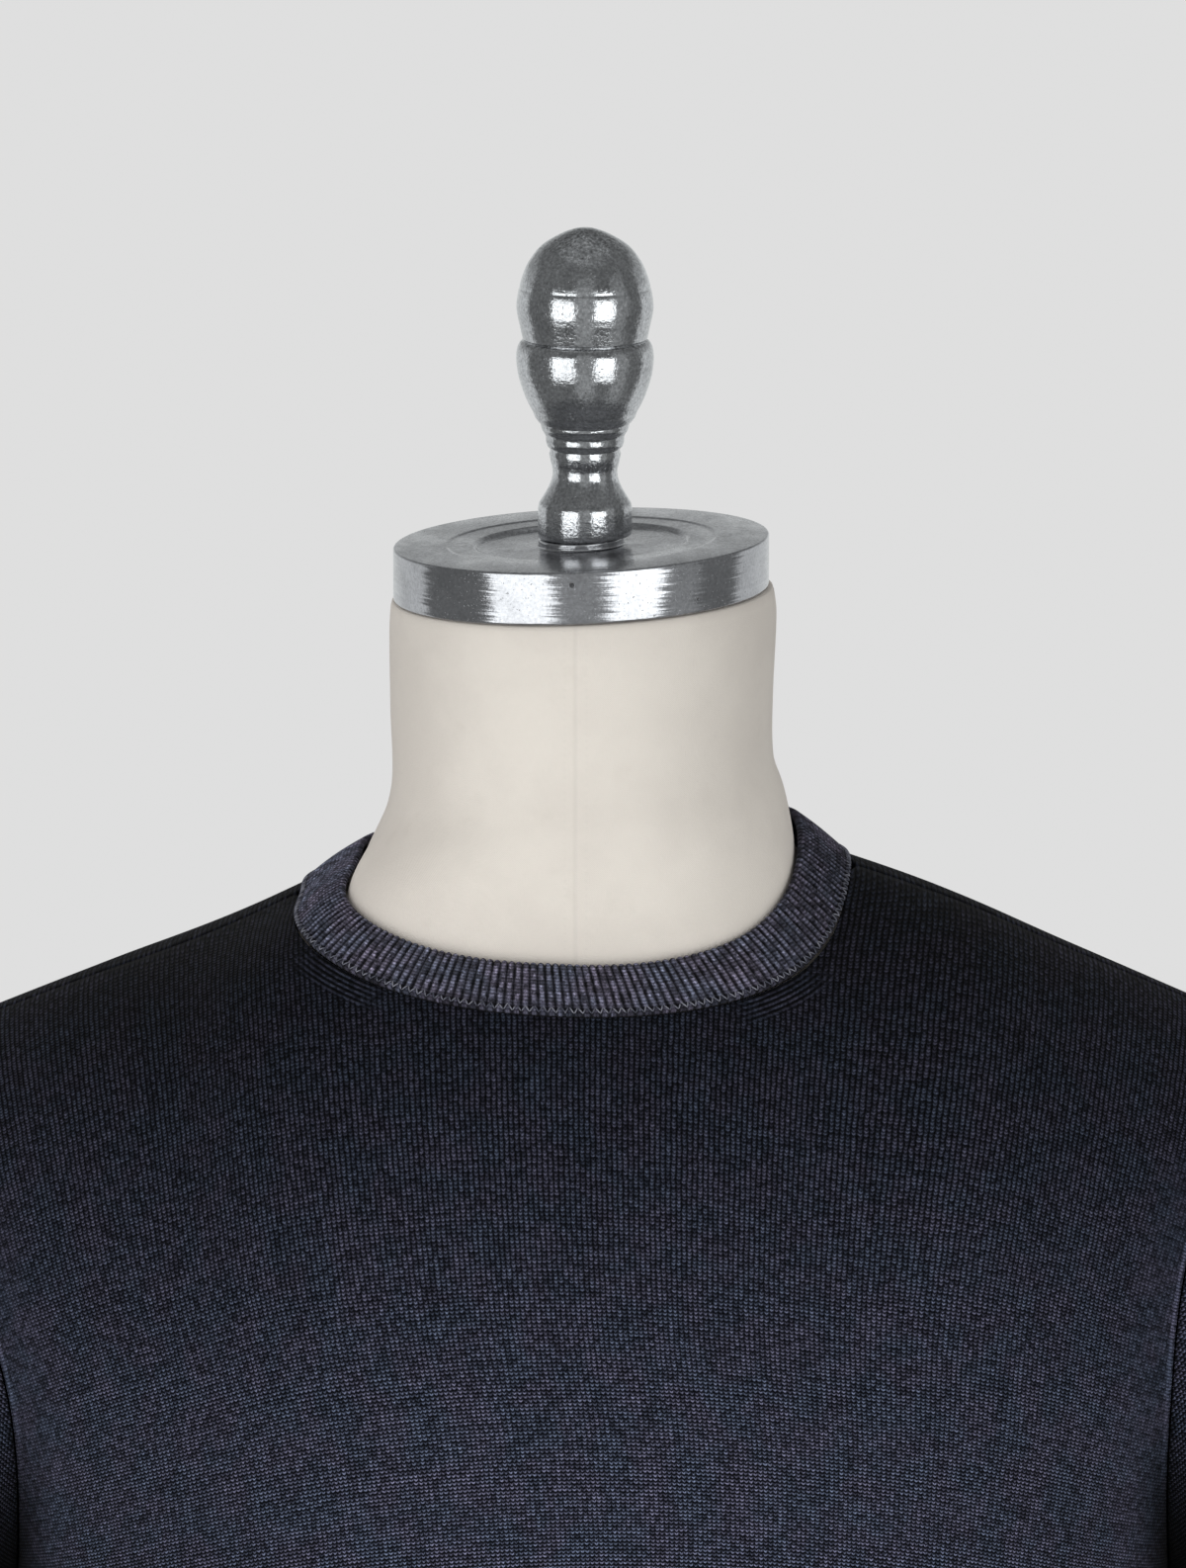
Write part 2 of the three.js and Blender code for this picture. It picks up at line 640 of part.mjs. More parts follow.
function capGeometry() {
  const edge = 0.8;
  const floorHeight = capThickness - 1.6;
  const geometry = turned([
    [0, 0],
    [capRadius - edge, 0],
    [capRadius, edge],
    [capRadius, capThickness - edge],
    [capRadius - edge, capThickness],
    [capDish.softEdge, capThickness],
    [capDish.brink, capThickness - 0.5],
    [capDish.floor, floorHeight],
    [capDish.boss, floorHeight],
    [capDish.boss, capThickness + capBoss],
    [0, capThickness + capBoss],
  ], 40);
  return leanGeometry(geometry, () => 1);
}

// Slopes a body with the cap; share says how much of the slope each height above its foot takes.
function leanGeometry(geometry, share) {
  const position = geometry.getAttribute('position');
  for (let i = 0; i < position.count; i += 1) {
    const rise = position.getX(i) * Math.tan(capLean) * share(position.getZ(i));
    position.setZ(i, position.getZ(i) + rise);
  }
  geometry.computeVertexNormals();
  return geometry;
}

function knobGeometry() {
  const outline = new THREE.SplineCurve(knobProfile.slice(1).map(({ height, radius }) => (
    new THREE.Vector2(radius, height)
  )));
  const steps = 26;
  const curve = outline.getPoints(steps).map((point) => [Math.max(point.x, 0), point.y]);
  curve[steps][0] = 0;
  const foot = knobProfile[0];
  const footFade = 8;
  const geometry = turned([[0, 0], [foot.radius, foot.height], ...curve], 24);
  return leanGeometry(geometry, (height) => Math.max(1 - height / footFade, 0));
}

function columnGeometry() {
  const length = shoulderPointHeight - formFootDrop - seamGap - baseThickness - seamGap;
  return turned([[0, 0], [columnRadius, 0], [columnRadius, length], [0, length]], 24);
}

function baseGeometry() {
  const rim = 2;
  const brow = 6;
  return turned([
    [0, 0],
    [baseRadius - rim, 0],
    [baseRadius, rim],
    [baseRadius, baseThickness - brow],
    [baseRadius - brow, baseThickness],
    [0, baseThickness],
  ], 48);
}

// ---- assembly ----
function part(name, geometry, material, height = 0) {
  const mesh = new THREE.Mesh(geometry, material);
  mesh.name = name;
  mesh.position.z = height;
  return mesh;
}

const sweater = new THREE.Group();
sweater.add(
  part('sweater_front', panelGeometry('front'), knit()),
  part('sweater_back', panelGeometry('back'), knit()),
  part('collar_rib', collarGeometry(), rib()),
  part('hem_rib', hemGeometry(), rib()),
);
for (const hand of ['left', 'right']) {
  sweater.add(
    part(`sleeve_${hand}`, sleeveGeometry(hand), knit()),
    part(`cuff_${hand}`, cuffGeometry(hand), rib()),
  );
}

const knob = part('neck_knob', knobGeometry(), steel(), capTop + capBoss + seamGap);
knob.position.x = knobOffset;
const dressForm = new THREE.Group();
dressForm.add(
  part('form_body', formGeometry(), canvas()),
  part('neck_cap', capGeometry(), steel(), capUnderside),
  knob,
  part('stand_column', columnGeometry(), steel(), baseThickness + seamGap),
  part('stand_base', baseGeometry(), steel()),
);

const group = new THREE.Group();
group.add(sweater, dressForm);

export default group;
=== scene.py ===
"""Looks of a crew neck sweater on a limbless dress form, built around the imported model.

Shapes are worked out in millimetres and handed to Blender in metres. Heights on the garment are
drops: millimetres below the high shoulder point, where the shoulder seam meets the collar. Left
and right are as the camera sees them. Materials, lights and the camera are in metres.
"""
import math
from functools import partialmethod
import bmesh
import bpy
import numpy as np
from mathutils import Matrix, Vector


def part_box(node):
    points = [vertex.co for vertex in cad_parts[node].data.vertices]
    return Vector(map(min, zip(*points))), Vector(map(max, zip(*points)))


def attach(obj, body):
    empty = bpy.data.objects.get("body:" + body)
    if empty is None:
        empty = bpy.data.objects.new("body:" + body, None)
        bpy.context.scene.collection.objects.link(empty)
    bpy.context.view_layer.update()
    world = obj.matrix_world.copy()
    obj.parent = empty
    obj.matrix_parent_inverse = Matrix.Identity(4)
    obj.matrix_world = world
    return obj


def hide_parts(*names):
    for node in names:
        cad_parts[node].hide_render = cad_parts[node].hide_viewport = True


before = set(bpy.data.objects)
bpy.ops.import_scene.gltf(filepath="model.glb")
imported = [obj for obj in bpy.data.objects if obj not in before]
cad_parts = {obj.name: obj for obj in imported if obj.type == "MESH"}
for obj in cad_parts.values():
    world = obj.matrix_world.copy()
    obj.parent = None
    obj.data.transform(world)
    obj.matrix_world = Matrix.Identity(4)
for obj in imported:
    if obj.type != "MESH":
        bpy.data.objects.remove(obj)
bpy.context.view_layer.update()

MM = 0.001
rng = np.random.default_rng(41)

# ---- driving sizes
RIDGE_Y = 8.0                 # the shoulder seams lie this far behind the neck's axis
NECK_HALF = 90.5
SHOULDER_HALF = 218.0
SHOULDER_SLOPE = math.tan(math.radians(21.9))
UNDERARM = 245.0
HEM_SEAM = 620.0
HEM = 682.0
NECK_DROP = {"front": 26.0, "back": 8.8}
NECK_POWER = {"front": 2.2, "back": 1.6}
ARMHOLE_SCOOP = 15.0
KNIT_WALL = 1.6
RIB_WALL = 2.4
GAP = 0.3                     # between pieces that are sewn together
COLLAR_WIDTH = {"front": 20.2, "back": 24.6}
COLLAR_LEAN = {"front": 44.0, "back": 64.0, "left": 33.0, "right": 40.5}   # degrees from level
COLLAR_AIM = np.array([-9.0, -4.5, 0.0])      # the collar leans in towards this point
COLLAR_PROUD = 0.9            # the collar's seam stands this far out from the cloth
CUFF_SEAM = 600.0
CUFF = 660.0
NECK_TOP = -97.0
FORM_FOOT = 735.0
FORM_SEAT = 3.5               # the form's shoulders lie this far below the cloth's
KNOB_OFFSET = 1.3             # the knob stands this far to the right on its cap
SWELL = {"front": 3.6, "back": 6.8}           # how soon the chest and the back reach full depth
SIGN = {"front": -1.0, "back": 1.0}
MIRROR = {"left": np.array([-1, 1, 1]), "right": np.array([1, 1, 1])}
SHOULDER_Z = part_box("form_body")[0].z / MM + FORM_FOOT

RIB_PITCH = 2.85              # one knit rib and one purl furrow
COURSE = 1.27                 # height of one row of stitches
SLEEVE_WALE = 1.5


def table(columns, *rows):
    """A table's columns by name."""
    return dict(zip(columns.split(), np.array(rows, float).T))


CLOTH = table(
    "drop half front back power",
    (-20, 250, 133, 113, 2.2),
    (60, 249, 133, 113, 2.2),
    (100, 241, 133, 113, 2.25),
    (150, 224, 133, 113, 2.3),
    (200, 205, 133, 112, 2.35),
    (245, 192, 132, 110, 2.35),
    (330, 186, 129, 103, 2.3),
    (430, 181, 121, 98, 2.3),
    (520, 182, 119, 104, 2.3),
    (596, 185, 121, 112, 2.3),
    (620, 179, 115, 107, 2.3),
    (682, 177, 113, 105, 2.3),
)
FORM = table(
    "drop half front back power",
    (-20, 207, 124, 106, 2.2),
    (60, 206, 124, 106, 2.2),
    (100, 203, 124, 106, 2.25),
    (150, 197, 124, 106, 2.3),
    (200, 190, 124, 105, 2.35),
    (245, 185, 123, 103, 2.35),
    (330, 178, 120, 95, 2.3),
    (430, 171, 111, 89, 2.3),
    (520, 172, 109, 95, 2.3),
    (600, 173, 110, 102, 2.3),
    (682, 171, 107, 99, 2.3),
    (735, 166, 103, 96, 2.3),
)
NECK = table(
    "drop x y half depth power",
    (-97, 0.4, 0, 62.6, 62.4, 2),
    (-88, 0.6, 0, 63.4, 62.8, 2),
    (-62, 0.2, 0, 62.8, 62.2, 2),
    (-40, 0.4, 0, 62.6, 62, 2),
    (-30, 1.4, 0.4, 64.8, 62.8, 2.1),
    (-20, 1.4, 0.8, 67.8, 63.6, 2.3),
    (-12, 1.2, 1.4, 70.2, 65, 2.4),
    (-4, 1.2, 1.8, 72, 66.1, 2.5),
    (4, 1.4, 2.2, 74.1, 67.8, 2.5),
    (12, 1.4, 1.6, 74.9, 68.7, 2.3),
    (40, 0, 1.4, 76, 70, 2.3),
)
SLEEVE = table(
    "drop x y half depth tilt",
    (220, 232, 4, 37.5, 66, 50),
    (285, 230.5, 4, 35.5, 63, 22),
    (345, 229, 2, 33.5, 58, 4),
    (405, 227.5, -1, 31.5, 53, 0),
    (465, 226.5, -6, 30, 48, 0),
    (525, 225.5, -12, 28.5, 44, 0),
    (575, 225, -17, 28, 42, 0),
    (600, 225, -19, 23, 33.5, 0),
)
CUFF_SHAPE = table(
    "drop x y half depth",
    (600, 225, -19, 22.6, 32.6),
    (625, 225, -21, 21.4, 31),
    (660, 225, -24, 21.8, 31.4),
)
# The left-hand shoulder is low, and the neckline has slipped to the left and hangs level in front.
# The chest hangs a little to the right of the neck.
TILT = table(
    "drop tilt front_tilt shift front_shift chest",
    (-97, 2.3, 2.3, 0, 0, 0),
    (-60, 2.5, 2.5, 0, 0, 0),
    (-30, 2.7, -1.2, 0, 0, 0),
    (-8, 2.9, -2.4, -2, -7.1, 0),
    (10, 2.9, -2.4, -2, -7.1, 0),
    (30, 1.5, -2.2, -2, -6.9, 0),
    (60, 0.7, -2, -2, -6.6, 0),
    (115, 0.62, -0.9, -1.2, -3.9, 0),
    (160, 0.58, 0, -0.5, -1.6, 3.2),
    (200, 0.5, 0.5, 0, 0, 3.8),
    (250, 0.4, 0.4, 0, 0, 3.8),
    (420, 0.2, 0.2, 0, 0, 1.6),
    (600, 0, 0, 0, 0, 0),
    (735, 0, 0, 0, 0, 0),
)
# Width of one wale of the front and back: the knit spreads over the chest and shoulders.
WALES = table(
    "drop pitch",
    (-40, 1.96),
    (36, 1.78),
    (106, 1.64),
    (150, 1.56),
    (245, 1.46),
    (330, 1.43),
    (620, 1.43),
)


def hermite(first, last, leave, arrive, t):
    """A smooth curve from first to last while t goes from 0 to 1, with its slopes at both ends."""
    return (
        first * (1 + 2 * t) * (1 - t) ** 2
        + last * t * t * (3 - 2 * t)
        + leave * t * (1 - t) ** 2
        + arrive * t * t * (t - 1)
    )


def read(tab, column, drop):
    """One column of a table at any drops, with smooth curves between its rows."""
    at, value = tab["drop"], tab[column]
    drop = np.clip(np.asarray(drop, float), at[0], at[-1])
    last = len(at) - 1
    row = np.clip(np.searchsorted(at, drop) - 1, 0, last - 1)
    ahead = np.minimum(np.arange(last + 1) + 1, last)
    behind = np.maximum(np.arange(last + 1) - 1, 0)
    slope = (value[ahead] - value[behind]) / (at[ahead] - at[behind])
    span = at[row + 1] - at[row]
    t = (drop - at[row]) / span
    return hermite(value[row], value[row + 1], slope[row] * span, slope[row + 1] * span, t)


def smooth(low, high, value):
    """0 at low and 1 at high, with a soft step between."""
    t = np.clip((np.asarray(value, float) - low) / (high - low), 0, 1)
    return t * t * (3 - 2 * t)


def mix(a, b, t):
    return a + (b - a) * t


def unit(vectors):
    length = np.linalg.norm(vectors, axis=-1, keepdims=True)
    return vectors / np.maximum(length, 1e-9)


# ---- the garment's surface
def ridge_drop(x):
    """Drop of the shoulder line: straight outside the neck, and a rounded saddle inside it."""
    away = np.abs(x)
    level = away * away / (2 * NECK_HALF) - NECK_HALF / 2
    return np.where(away > NECK_HALF, away - NECK_HALF, level) * SHOULDER_SLOPE


def body_depth(side, x, drop, shape=CLOTH, lowered=0.0):
    """How far the front or back lies from the plane of the shoulder seams."""
    half, power = read(shape, "half", drop), read(shape, "power", drop)
    ridge = ridge_drop(x) + lowered
    fall = np.clip((drop - ridge) / (UNDERARM - ridge), 0, 1)
    across = np.minimum(np.abs(x) / half, 1)
    bulge = (1 - across ** power) ** (1 / power)
    return read(shape, side, drop) * np.sqrt(1 - (1 - fall) ** SWELL[side]) * bulge


def cloth_point(side, x, drop):
    """The outer face of the cloth where it lies smooth."""
    y = RIDGE_Y + SIGN[side] * (body_depth(side, x, drop) + GAP / 2)
    return np.stack(np.broadcast_arrays(x, y, -np.asarray(drop, float)), -1)


SLIP_FADES = (75, 140)        # how far from the middle the neckline's slip fades out
SLIP_FRONT = (-5, 60)         # how far in front of the neck's axis the front's slip takes over


def place(points):
    """Tips points with the form's shoulders, moves them with the slipped neckline and the chest,
    and lifts them to their height above the floor."""
    drop = -points[..., 2]
    slips = 1 - smooth(*SLIP_FADES, np.abs(points[..., 0]))
    in_front = smooth(*SLIP_FRONT, -points[..., 1]) * slips
    tilt = mix(read(TILT, "tilt", drop), read(TILT, "front_tilt", drop), in_front)
    placed = points.copy()
    shift = read(TILT, "shift", drop) * slips
    placed[..., 0] += mix(shift, read(TILT, "front_shift", drop), in_front)
    placed[..., 0] += read(TILT, "chest", drop)
    placed[..., 2] += points[..., 0] * np.tan(np.radians(tilt)) + SHOULDER_Z
    return placed


def steps_round(loop):
    """From the point before to the point after, at each point of a closed loop."""
    return np.roll(loop, -1, 0) - np.roll(loop, 1, 0)


def grid_normals(grid, wraps=False):
    """Unit normals of a grid of points [column, row], pointing away from the middle of each row."""
    if wraps:
        across = steps_round(grid)
        middle = grid.mean(0, keepdims=True)
    else:
        across = np.gradient(grid, axis=0)
        middle = grid * [0, 0, 1] + [0, RIDGE_Y, 0]
    normals = unit(np.cross(across, np.gradient(grid, axis=1)))
    facing = (normals * (grid - middle)).sum()
    return normals * (1 if facing > 0 else -1)


def blur_loop(values, width):
    """Evens out values round a closed loop, by a bell curve of that many steps."""
    steps = np.fft.fftfreq(len(values))
    bell = np.exp(-0.5 * (2 * np.pi * steps * width) ** 2)
    return np.fft.ifft(np.fft.fft(values, axis=0) * bell[:, None], axis=0).real


def shut(loop):
    """A loop with its first point again at its end."""
    return np.concatenate([loop, loop[:1]])


def path_lengths(points, axis=0):
    """Distance along a path to each of its points."""
    steps = np.linalg.norm(np.diff(points, axis=axis), axis=-1)
    start = np.zeros_like(np.take(steps, [0], axis))
    return np.concatenate([start, np.cumsum(steps, axis)], axis)


def resample_loop(points, count):
    """A number of points at equal steps round a closed loop."""
    ends = shut(points)
    reach = path_lengths(ends)
    wanted = np.arange(count) / count * reach[-1]
    return np.stack([np.interp(wanted, reach, ends[:, k]) for k in range(3)], -1)


# ---- meshes
def new_mesh(name, points, faces, uv=None, marks=None):
    """A smooth mesh object from points in millimetres, faces of four corners, and a pair for each
    corner of each face. Marks are named numbers, one for each point."""
    points = np.asarray(points, float).reshape(-1, 3)
    faces = np.asarray(faces, np.int64)
    a, b, c, d = (points[faces[:, k]] for k in range(4))
    volume = (np.cross(a, b) * c).sum() + (np.cross(a, c) * d).sum()
    if volume < 0:                # the faces point inwards
        faces = faces[:, ::-1]
        uv = None if uv is None else uv[:, ::-1]
    mesh = bpy.data.meshes.new(name)
    mesh.vertices.add(len(points))
    mesh.vertices.foreach_set("co", (points * MM).ravel())
    mesh.loops.add(faces.size)
    mesh.loops.foreach_set("vertex_index", faces.ravel())
    mesh.polygons.add(len(faces))
    mesh.polygons.foreach_set("loop_start", np.arange(0, faces.size, 4))
    mesh.polygons.foreach_set("use_smooth", np.ones(len(faces), bool))
    if uv is not None:
        layer = mesh.uv_layers.new(name="stitches")
        layer.data.foreach_set("uv", np.asarray(uv, float).ravel())
    for mark, values in (marks or {}).items():
        mesh.attributes.new(mark, "FLOAT", "POINT").data.foreach_set("value", np.ravel(values))
    mesh.update(calc_edges=True)
    mesh.validate()
    thing = bpy.data.objects.new(name, mesh)
    bpy.context.scene.collection.objects.link(thing)
    return thing


def grid_object(name, grid, uv=None, goes_round=True, rows_close=True, marks=None):
    """A mesh from a grid of points [column, row]. uv has one more column or row where it closes."""
    columns, rows = grid.shape[:2]
    i, j = np.indices((columns - (not goes_round), rows - (not rows_close))).reshape(2, -1)
    column, row = np.stack([i, i + 1, i + 1, i], -1), np.stack([j, j, j + 1, j + 1], -1)
    index = column % columns * rows + row % rows
    pairs = None if uv is None else uv[column, row]
    if not goes_round and rows_close:      # the first and last columns are closed flat
        half = rows // 2
        j = np.arange(half - 1)
        flap = np.stack([j, j + 1, rows - 2 - j, rows - 1 - j], -1)
        for column, turned in ((0, flap[:, ::-1]), (columns - 1, flap)):
            index = np.concatenate([index, column * rows + turned])
            if uv is not None:
                pairs = np.concatenate([pairs, uv[column, turned]])
    return new_mesh(name, grid, index, pairs, marks)


def wall_object(name, outer, inner, uv, goes_round, marks=None):
    """A closed wall of cloth between two grids of points of the same size."""
    grid = np.concatenate([outer, inner[:, ::-1]], 1)
    pairs = np.concatenate([uv, uv[:, ::-1], uv[:, :1]], 1)
    both = {m: np.concatenate([v, v[:, ::-1]], 1) for m, v in (marks or {}).items()}
    return grid_object(name, grid, pairs, goes_round, True, both)


def lathe(name, pairs, segments, slope=0.0, fade=None, centre=(0, 0, 0)):
    """A turned solid from radius and height pairs that start and end on its axis. It slopes
    sideways; the slope fades out over a height where fade is given."""
    radius, height = np.array(pairs, float).T
    angle = np.arange(segments) * 2 * np.pi / segments
    x = np.cos(angle)[:, None] * radius
    y = np.sin(angle)[:, None] * radius
    share = 1.0 if fade is None else np.clip(1 - height / fade, 0, 1)
    z = height + x * slope * share
    grid = np.stack([x, y, z], -1) + np.array(centre, float)
    return weld(grid_object(name, grid, rows_close=False))


def weld(thing, reach=1e-6):
    """Joins the points that lie together, such as those on the axis of a turned shape."""
    shape = bmesh.new()
    shape.from_mesh(thing.data)
    bmesh.ops.remove_doubles(shape, verts=shape.verts, dist=reach)
    bmesh.ops.dissolve_degenerate(shape, dist=reach, edges=shape.edges)
    shape.to_mesh(thing.data)
    shape.free()
    return thing


def tubes(paths, radius, sides=6):
    """Points and faces of open round tubes along paths [tube, step, xyz], drawn in at both ends."""
    count, steps = paths.shape[:2]
    along = unit(np.gradient(paths, axis=1))
    off_every_path = np.array([0.13, 0.21, 0.97])
    first = unit(np.cross(along, off_every_path))
    second = np.cross(along, first)
    taper = np.ones(steps)
    taper[[0, -1]] = 0.12
    turn = np.arange(sides)[:, None] * 2 * np.pi / sides
    ring = np.cos(turn) * first[:, :, None] + np.sin(turn) * second[:, :, None]
    points = paths[:, :, None] + ring * (radius * taper)[None, :, None, None]
    t, s, k = np.indices((count, steps - 1, sides)).reshape(3, -1)

    def at(step, side):
        return (t * steps + step) * sides + side % sides

    faces = np.stack([at(s, k), at(s, k + 1), at(s + 1, k + 1), at(s + 1, k)], -1)
    return points.reshape(-1, 3), faces


# ---- folds of the cloth
# Soft ridges (height above 0) and troughs. x is across the panel, or round the sleeve from its
# outer line; reach is half the length, angle is down to the right, bend is how far the ends droop.
FRONT_FOLDS = table(
    "x drop reach angle width height bend",
    (-158, 258, 48, 38, 8, -2.6, 6),
    (-150, 280, 44, 47, 10, 2.4, 8),
    (-128, 318, 52, 30, 12, -2.0, -5),
    (160, 262, 52, -42, 9, -2.8, 7),
    (147, 290, 40, -35, 10, 2.3, 4),
    (131, 332, 60, -27, 13, -1.9, -6),
    (-112, 470, 62, 10, 13, 2.2, 8),
    (-96, 500, 76, 6, 10, -1.9, 6),
    (84, 484, 80, -9, 14, 2.3, 9),
    (104, 521, 66, -5, 10, -2.0, 7),
    (-60, 552, 92, 4, 13, 2.8, 8),
    (-120, 574, 54, -3, 8, -2.0, 3),
    (38, 566, 84, -4, 10, -2.2, 6),
    (108, 556, 66, 3, 11, 2.9, 5),
    (20, 592, 124, 1, 9, 2.6, 2),
    (-118, 596, 50, 2, 8, 1.9, 1),
    (-12, 430, 58, 8, 17, 1.2, 10),
)
BACK_FOLDS = table(
    "x drop reach angle width height bend",
    (-150, 262, 56, 42, 10, 2.7, 6),
    (-128, 292, 50, 36, 9, -2.2, 5),
    (154, 256, 50, -44, 9, 2.6, 6),
    (136, 300, 58, -31, 10, -2.2, 7),
    (-34, 394, 88, 5, 13, 2.4, -8),
    (28, 428, 106, -4, 11, -2.2, -9),
    (-18, 458, 96, 3, 12, 3.0, -7),
    (52, 492, 84, -6, 10, -2.0, -5),
    (-62, 506, 70, 7, 11, 2.6, -5),
    (96, 524, 62, -8, 12, 2.6, -3),
    (-96, 548, 60, 6, 9, -2.0, 2),
    (8, 556, 102, 2, 12, 3.1, 3),
    (82, 584, 66, -3, 9, 2.2, 2),
    (-80, 590, 72, 3, 9, 2.4, 2),
    (-84, 150, 40, 72, 11, 1.2, 5),
    (92, 156, 44, -70, 12, 1.3, 5),
)
SLEEVE_FOLDS = table(
    "x drop reach angle width height bend",
    (-46, 212, 46, 62, 9, -3.0, 6),
    (-58, 250, 40, 48, 10, 2.6, 6),
    (30, 190, 60, 74, 12, 2.2, 8),
    (44, 262, 44, -40, 9, -2.6, 4),
    (-64, 330, 34, 24, 9, -3.2, 4),
    (-74, 352, 30, 12, 8, 2.8, 3),
    (-60, 376, 36, -6, 8, -3.0, 2),
    (-70, 398, 30, -18, 8, 2.4, 2),
    (22, 372, 46, 18, 12, 1.8, 5),
    (6, 430, 42, -24, 11, -1.8, 4),
    (-30, 470, 38, 26, 10, 2.2, 4),
    (40, 498, 36, -20, 9, -2.0, 3),
    (-6, 530, 44, 8, 9, 2.4, 3),
    (-56, 548, 32, -10, 7, -2.0, 2),
    (28, 560, 40, 5, 8, 2.6, 2),
    (-22, 580, 52, -3, 7, 2.2, 1),
    (58, 584, 28, 6, 6, -1.8, 1),
)


def lift(folds, across_from, drop):
    """Height of the folds at each point; across_from(x) gives the distance from each fold's x. A
    fold is wider at one end, and its sides are unlike."""
    total = np.zeros_like(drop)
    for x, low, reach, angle, width, height, bend in zip(*folds.values()):
        lean = math.radians(angle)
        dx, dz = across_from(x), drop - low
        along = dx * math.cos(lean) + dz * math.sin(lean)
        across = dz * math.cos(lean) - dx * math.sin(lean) - bend * (along / reach) ** 2
        uneven = width * (1 + 0.35 * np.tanh(along / reach))
        skew = 1 - 0.25 * np.tanh(across / uneven)
        total += height * skew * np.exp(-(along / reach) ** 2 - (across / uneven) ** 2)
    return total


# ---- front and back
NECK_SPANS, SHOULDER_SPANS = 8, 6
SPANS = NECK_SPANS + SHOULDER_SPANS
SHOULDER_END = float(ridge_drop(SHOULDER_HALF))
FAR = 99.0                    # stands for any distance that is too long to matter


def seam_place(side, t):
    angle = math.pi / 2 * t
    power = 2 / NECK_POWER[side]
    level = np.maximum(np.cos(angle), 0)
    return NECK_HALF * np.sin(angle) ** power, NECK_DROP[side] * level ** power


def neck_seam(side, share):
    """Points of half the neck seam at equal steps along it: 0 is the middle, 1 the shoulder."""
    t = np.linspace(0, 1, 4001)
    x, drop = seam_place(side, t)
    reach = path_lengths(cloth_point(side, x, drop))
    return seam_place(side, np.interp(share, reach / reach[-1], t))


def armhole_half(drop):
    """Half the width of the front and back at the armholes, which are scooped towards the neck."""
    t = (drop - SHOULDER_END) / (UNDERARM - SHOULDER_END)
    under = float(read(CLOTH, "half", UNDERARM))
    return mix(SHOULDER_HALF, under, t) - ARMHOLE_SCOOP * np.sin(np.pi * t)


def panel_half(drop):
    on_arm = armhole_half(np.clip(drop, SHOULDER_END, UNDERARM))
    return np.where(drop >= UNDERARM, read(CLOTH, "half", drop), on_arm)


def ease(t):
    return (1 - np.cos(np.pi * t)) / 2


CHEST_POWER = 2.3             # roundness of the chest's outline seen from above
CHEST_DEPTH = 0.6             # its depth as a share of its half-width


def section_arc(share):
    """Length of the chest's outline from the middle to a share of its half-width."""
    t = np.sin(np.linspace(0, np.pi / 2, 600))
    y = CHEST_DEPTH * np.maximum(1 - t ** CHEST_POWER, 0) ** (1 / CHEST_POWER)
    return np.interp(np.abs(share), t, path_lengths(np.stack([t, y], -1)))


COURSE_DROOP = (0.0012, 4e-9)      # times x squared, and x to the fourth


def stitches(side, x, drop):
    """Wales across and courses down at each point. The wales spread towards the shoulders and the
    courses hang lower towards the arms."""
    half = read(CLOTH, "half", drop)
    round_x = np.sign(x) * section_arc(np.minimum(np.abs(x) / half, 1)) * half
    wide = mix(x, round_x, smooth(40, 190, drop))
    square, fourth = COURSE_DROOP
    level = drop - (square * x ** 2 + fourth * x ** 4) * (1 - smooth(250, 600, drop))
    heights = np.linspace(-17.5, 720, 1500)                # from the saddle of the shoulder line
    middle = cloth_point(side, np.zeros(1500), heights)
    run = np.interp(level, heights, path_lengths(middle))
    run += np.minimum(level - heights[0], 0) * 1.1         # above the middle line's top
    return np.stack([wide / read(WALES, "pitch", drop), run / COURSE], -1)


def panel_grid(side, half_columns=104, yoke_rows=72, trunk_rows=70):
    """x and drop of a panel's points [column, row]. The yoke's rows go from the neckline and the
    shoulder down to the level of the underarm, and the trunk's rows are level."""
    q = np.linspace(-SPANS, SPANS, 2 * half_columns + 1)
    away = np.abs(q)
    seam_x, seam_drop = neck_seam(side, np.minimum(away / NECK_SPANS, 1))
    reach = np.sin(np.pi / 2 * np.clip((away - NECK_SPANS) / SHOULDER_SPANS, 0, 1))
    on_ridge = away >= NECK_SPANS - 1e-9
    top_x = np.where(on_ridge, mix(NECK_HALF, SHOULDER_HALF, reach), seam_x)
    top = np.where(on_ridge, ridge_drop(top_x), seam_drop + GAP)
    share = np.sin(np.pi / 2 * away / SPANS) * np.sign(q)
    top_x = top_x * np.sign(q)

    way = ease(np.arange(yoke_rows) / yoke_rows)
    drop = mix(top[:, None], UNDERARM, way)
    fraction = mix(top_x[:, None] / SHOULDER_HALF, share[:, None], way)
    x = fraction * panel_half(drop)
    low = mix(UNDERARM, HEM_SEAM - GAP, np.linspace(0, 1, trunk_rows + 1))
    drop = np.concatenate([drop, np.broadcast_to(low, (len(q), len(low)))], 1)
    return np.concatenate([x, share[:, None] * panel_half(low)], 1), drop


def neck_marks(side, flat, near):
    """Of the points near the neck: how far they are from its seam, and how much they are in the
    lengths of it where the knit was narrowed."""
    seam = cloth_point(side, *neck_seam(side, np.linspace(0, 1, 500)))
    folded = flat[near]
    folded[:, 0] = np.abs(folded[:, 0])
    gap = np.linalg.norm(folded[:, None] - seam[None], axis=-1)
    from_seam = np.full(near.shape, FAR)
    seam_share = np.zeros(near.shape)
    from_seam[near] = gap.min(1)
    seam_share[near] = gap.argmin(1) / 499
    return from_seam, smooth(0.34, 0.44, seam_share) * (1 - smooth(0.5, 0.64, seam_share))


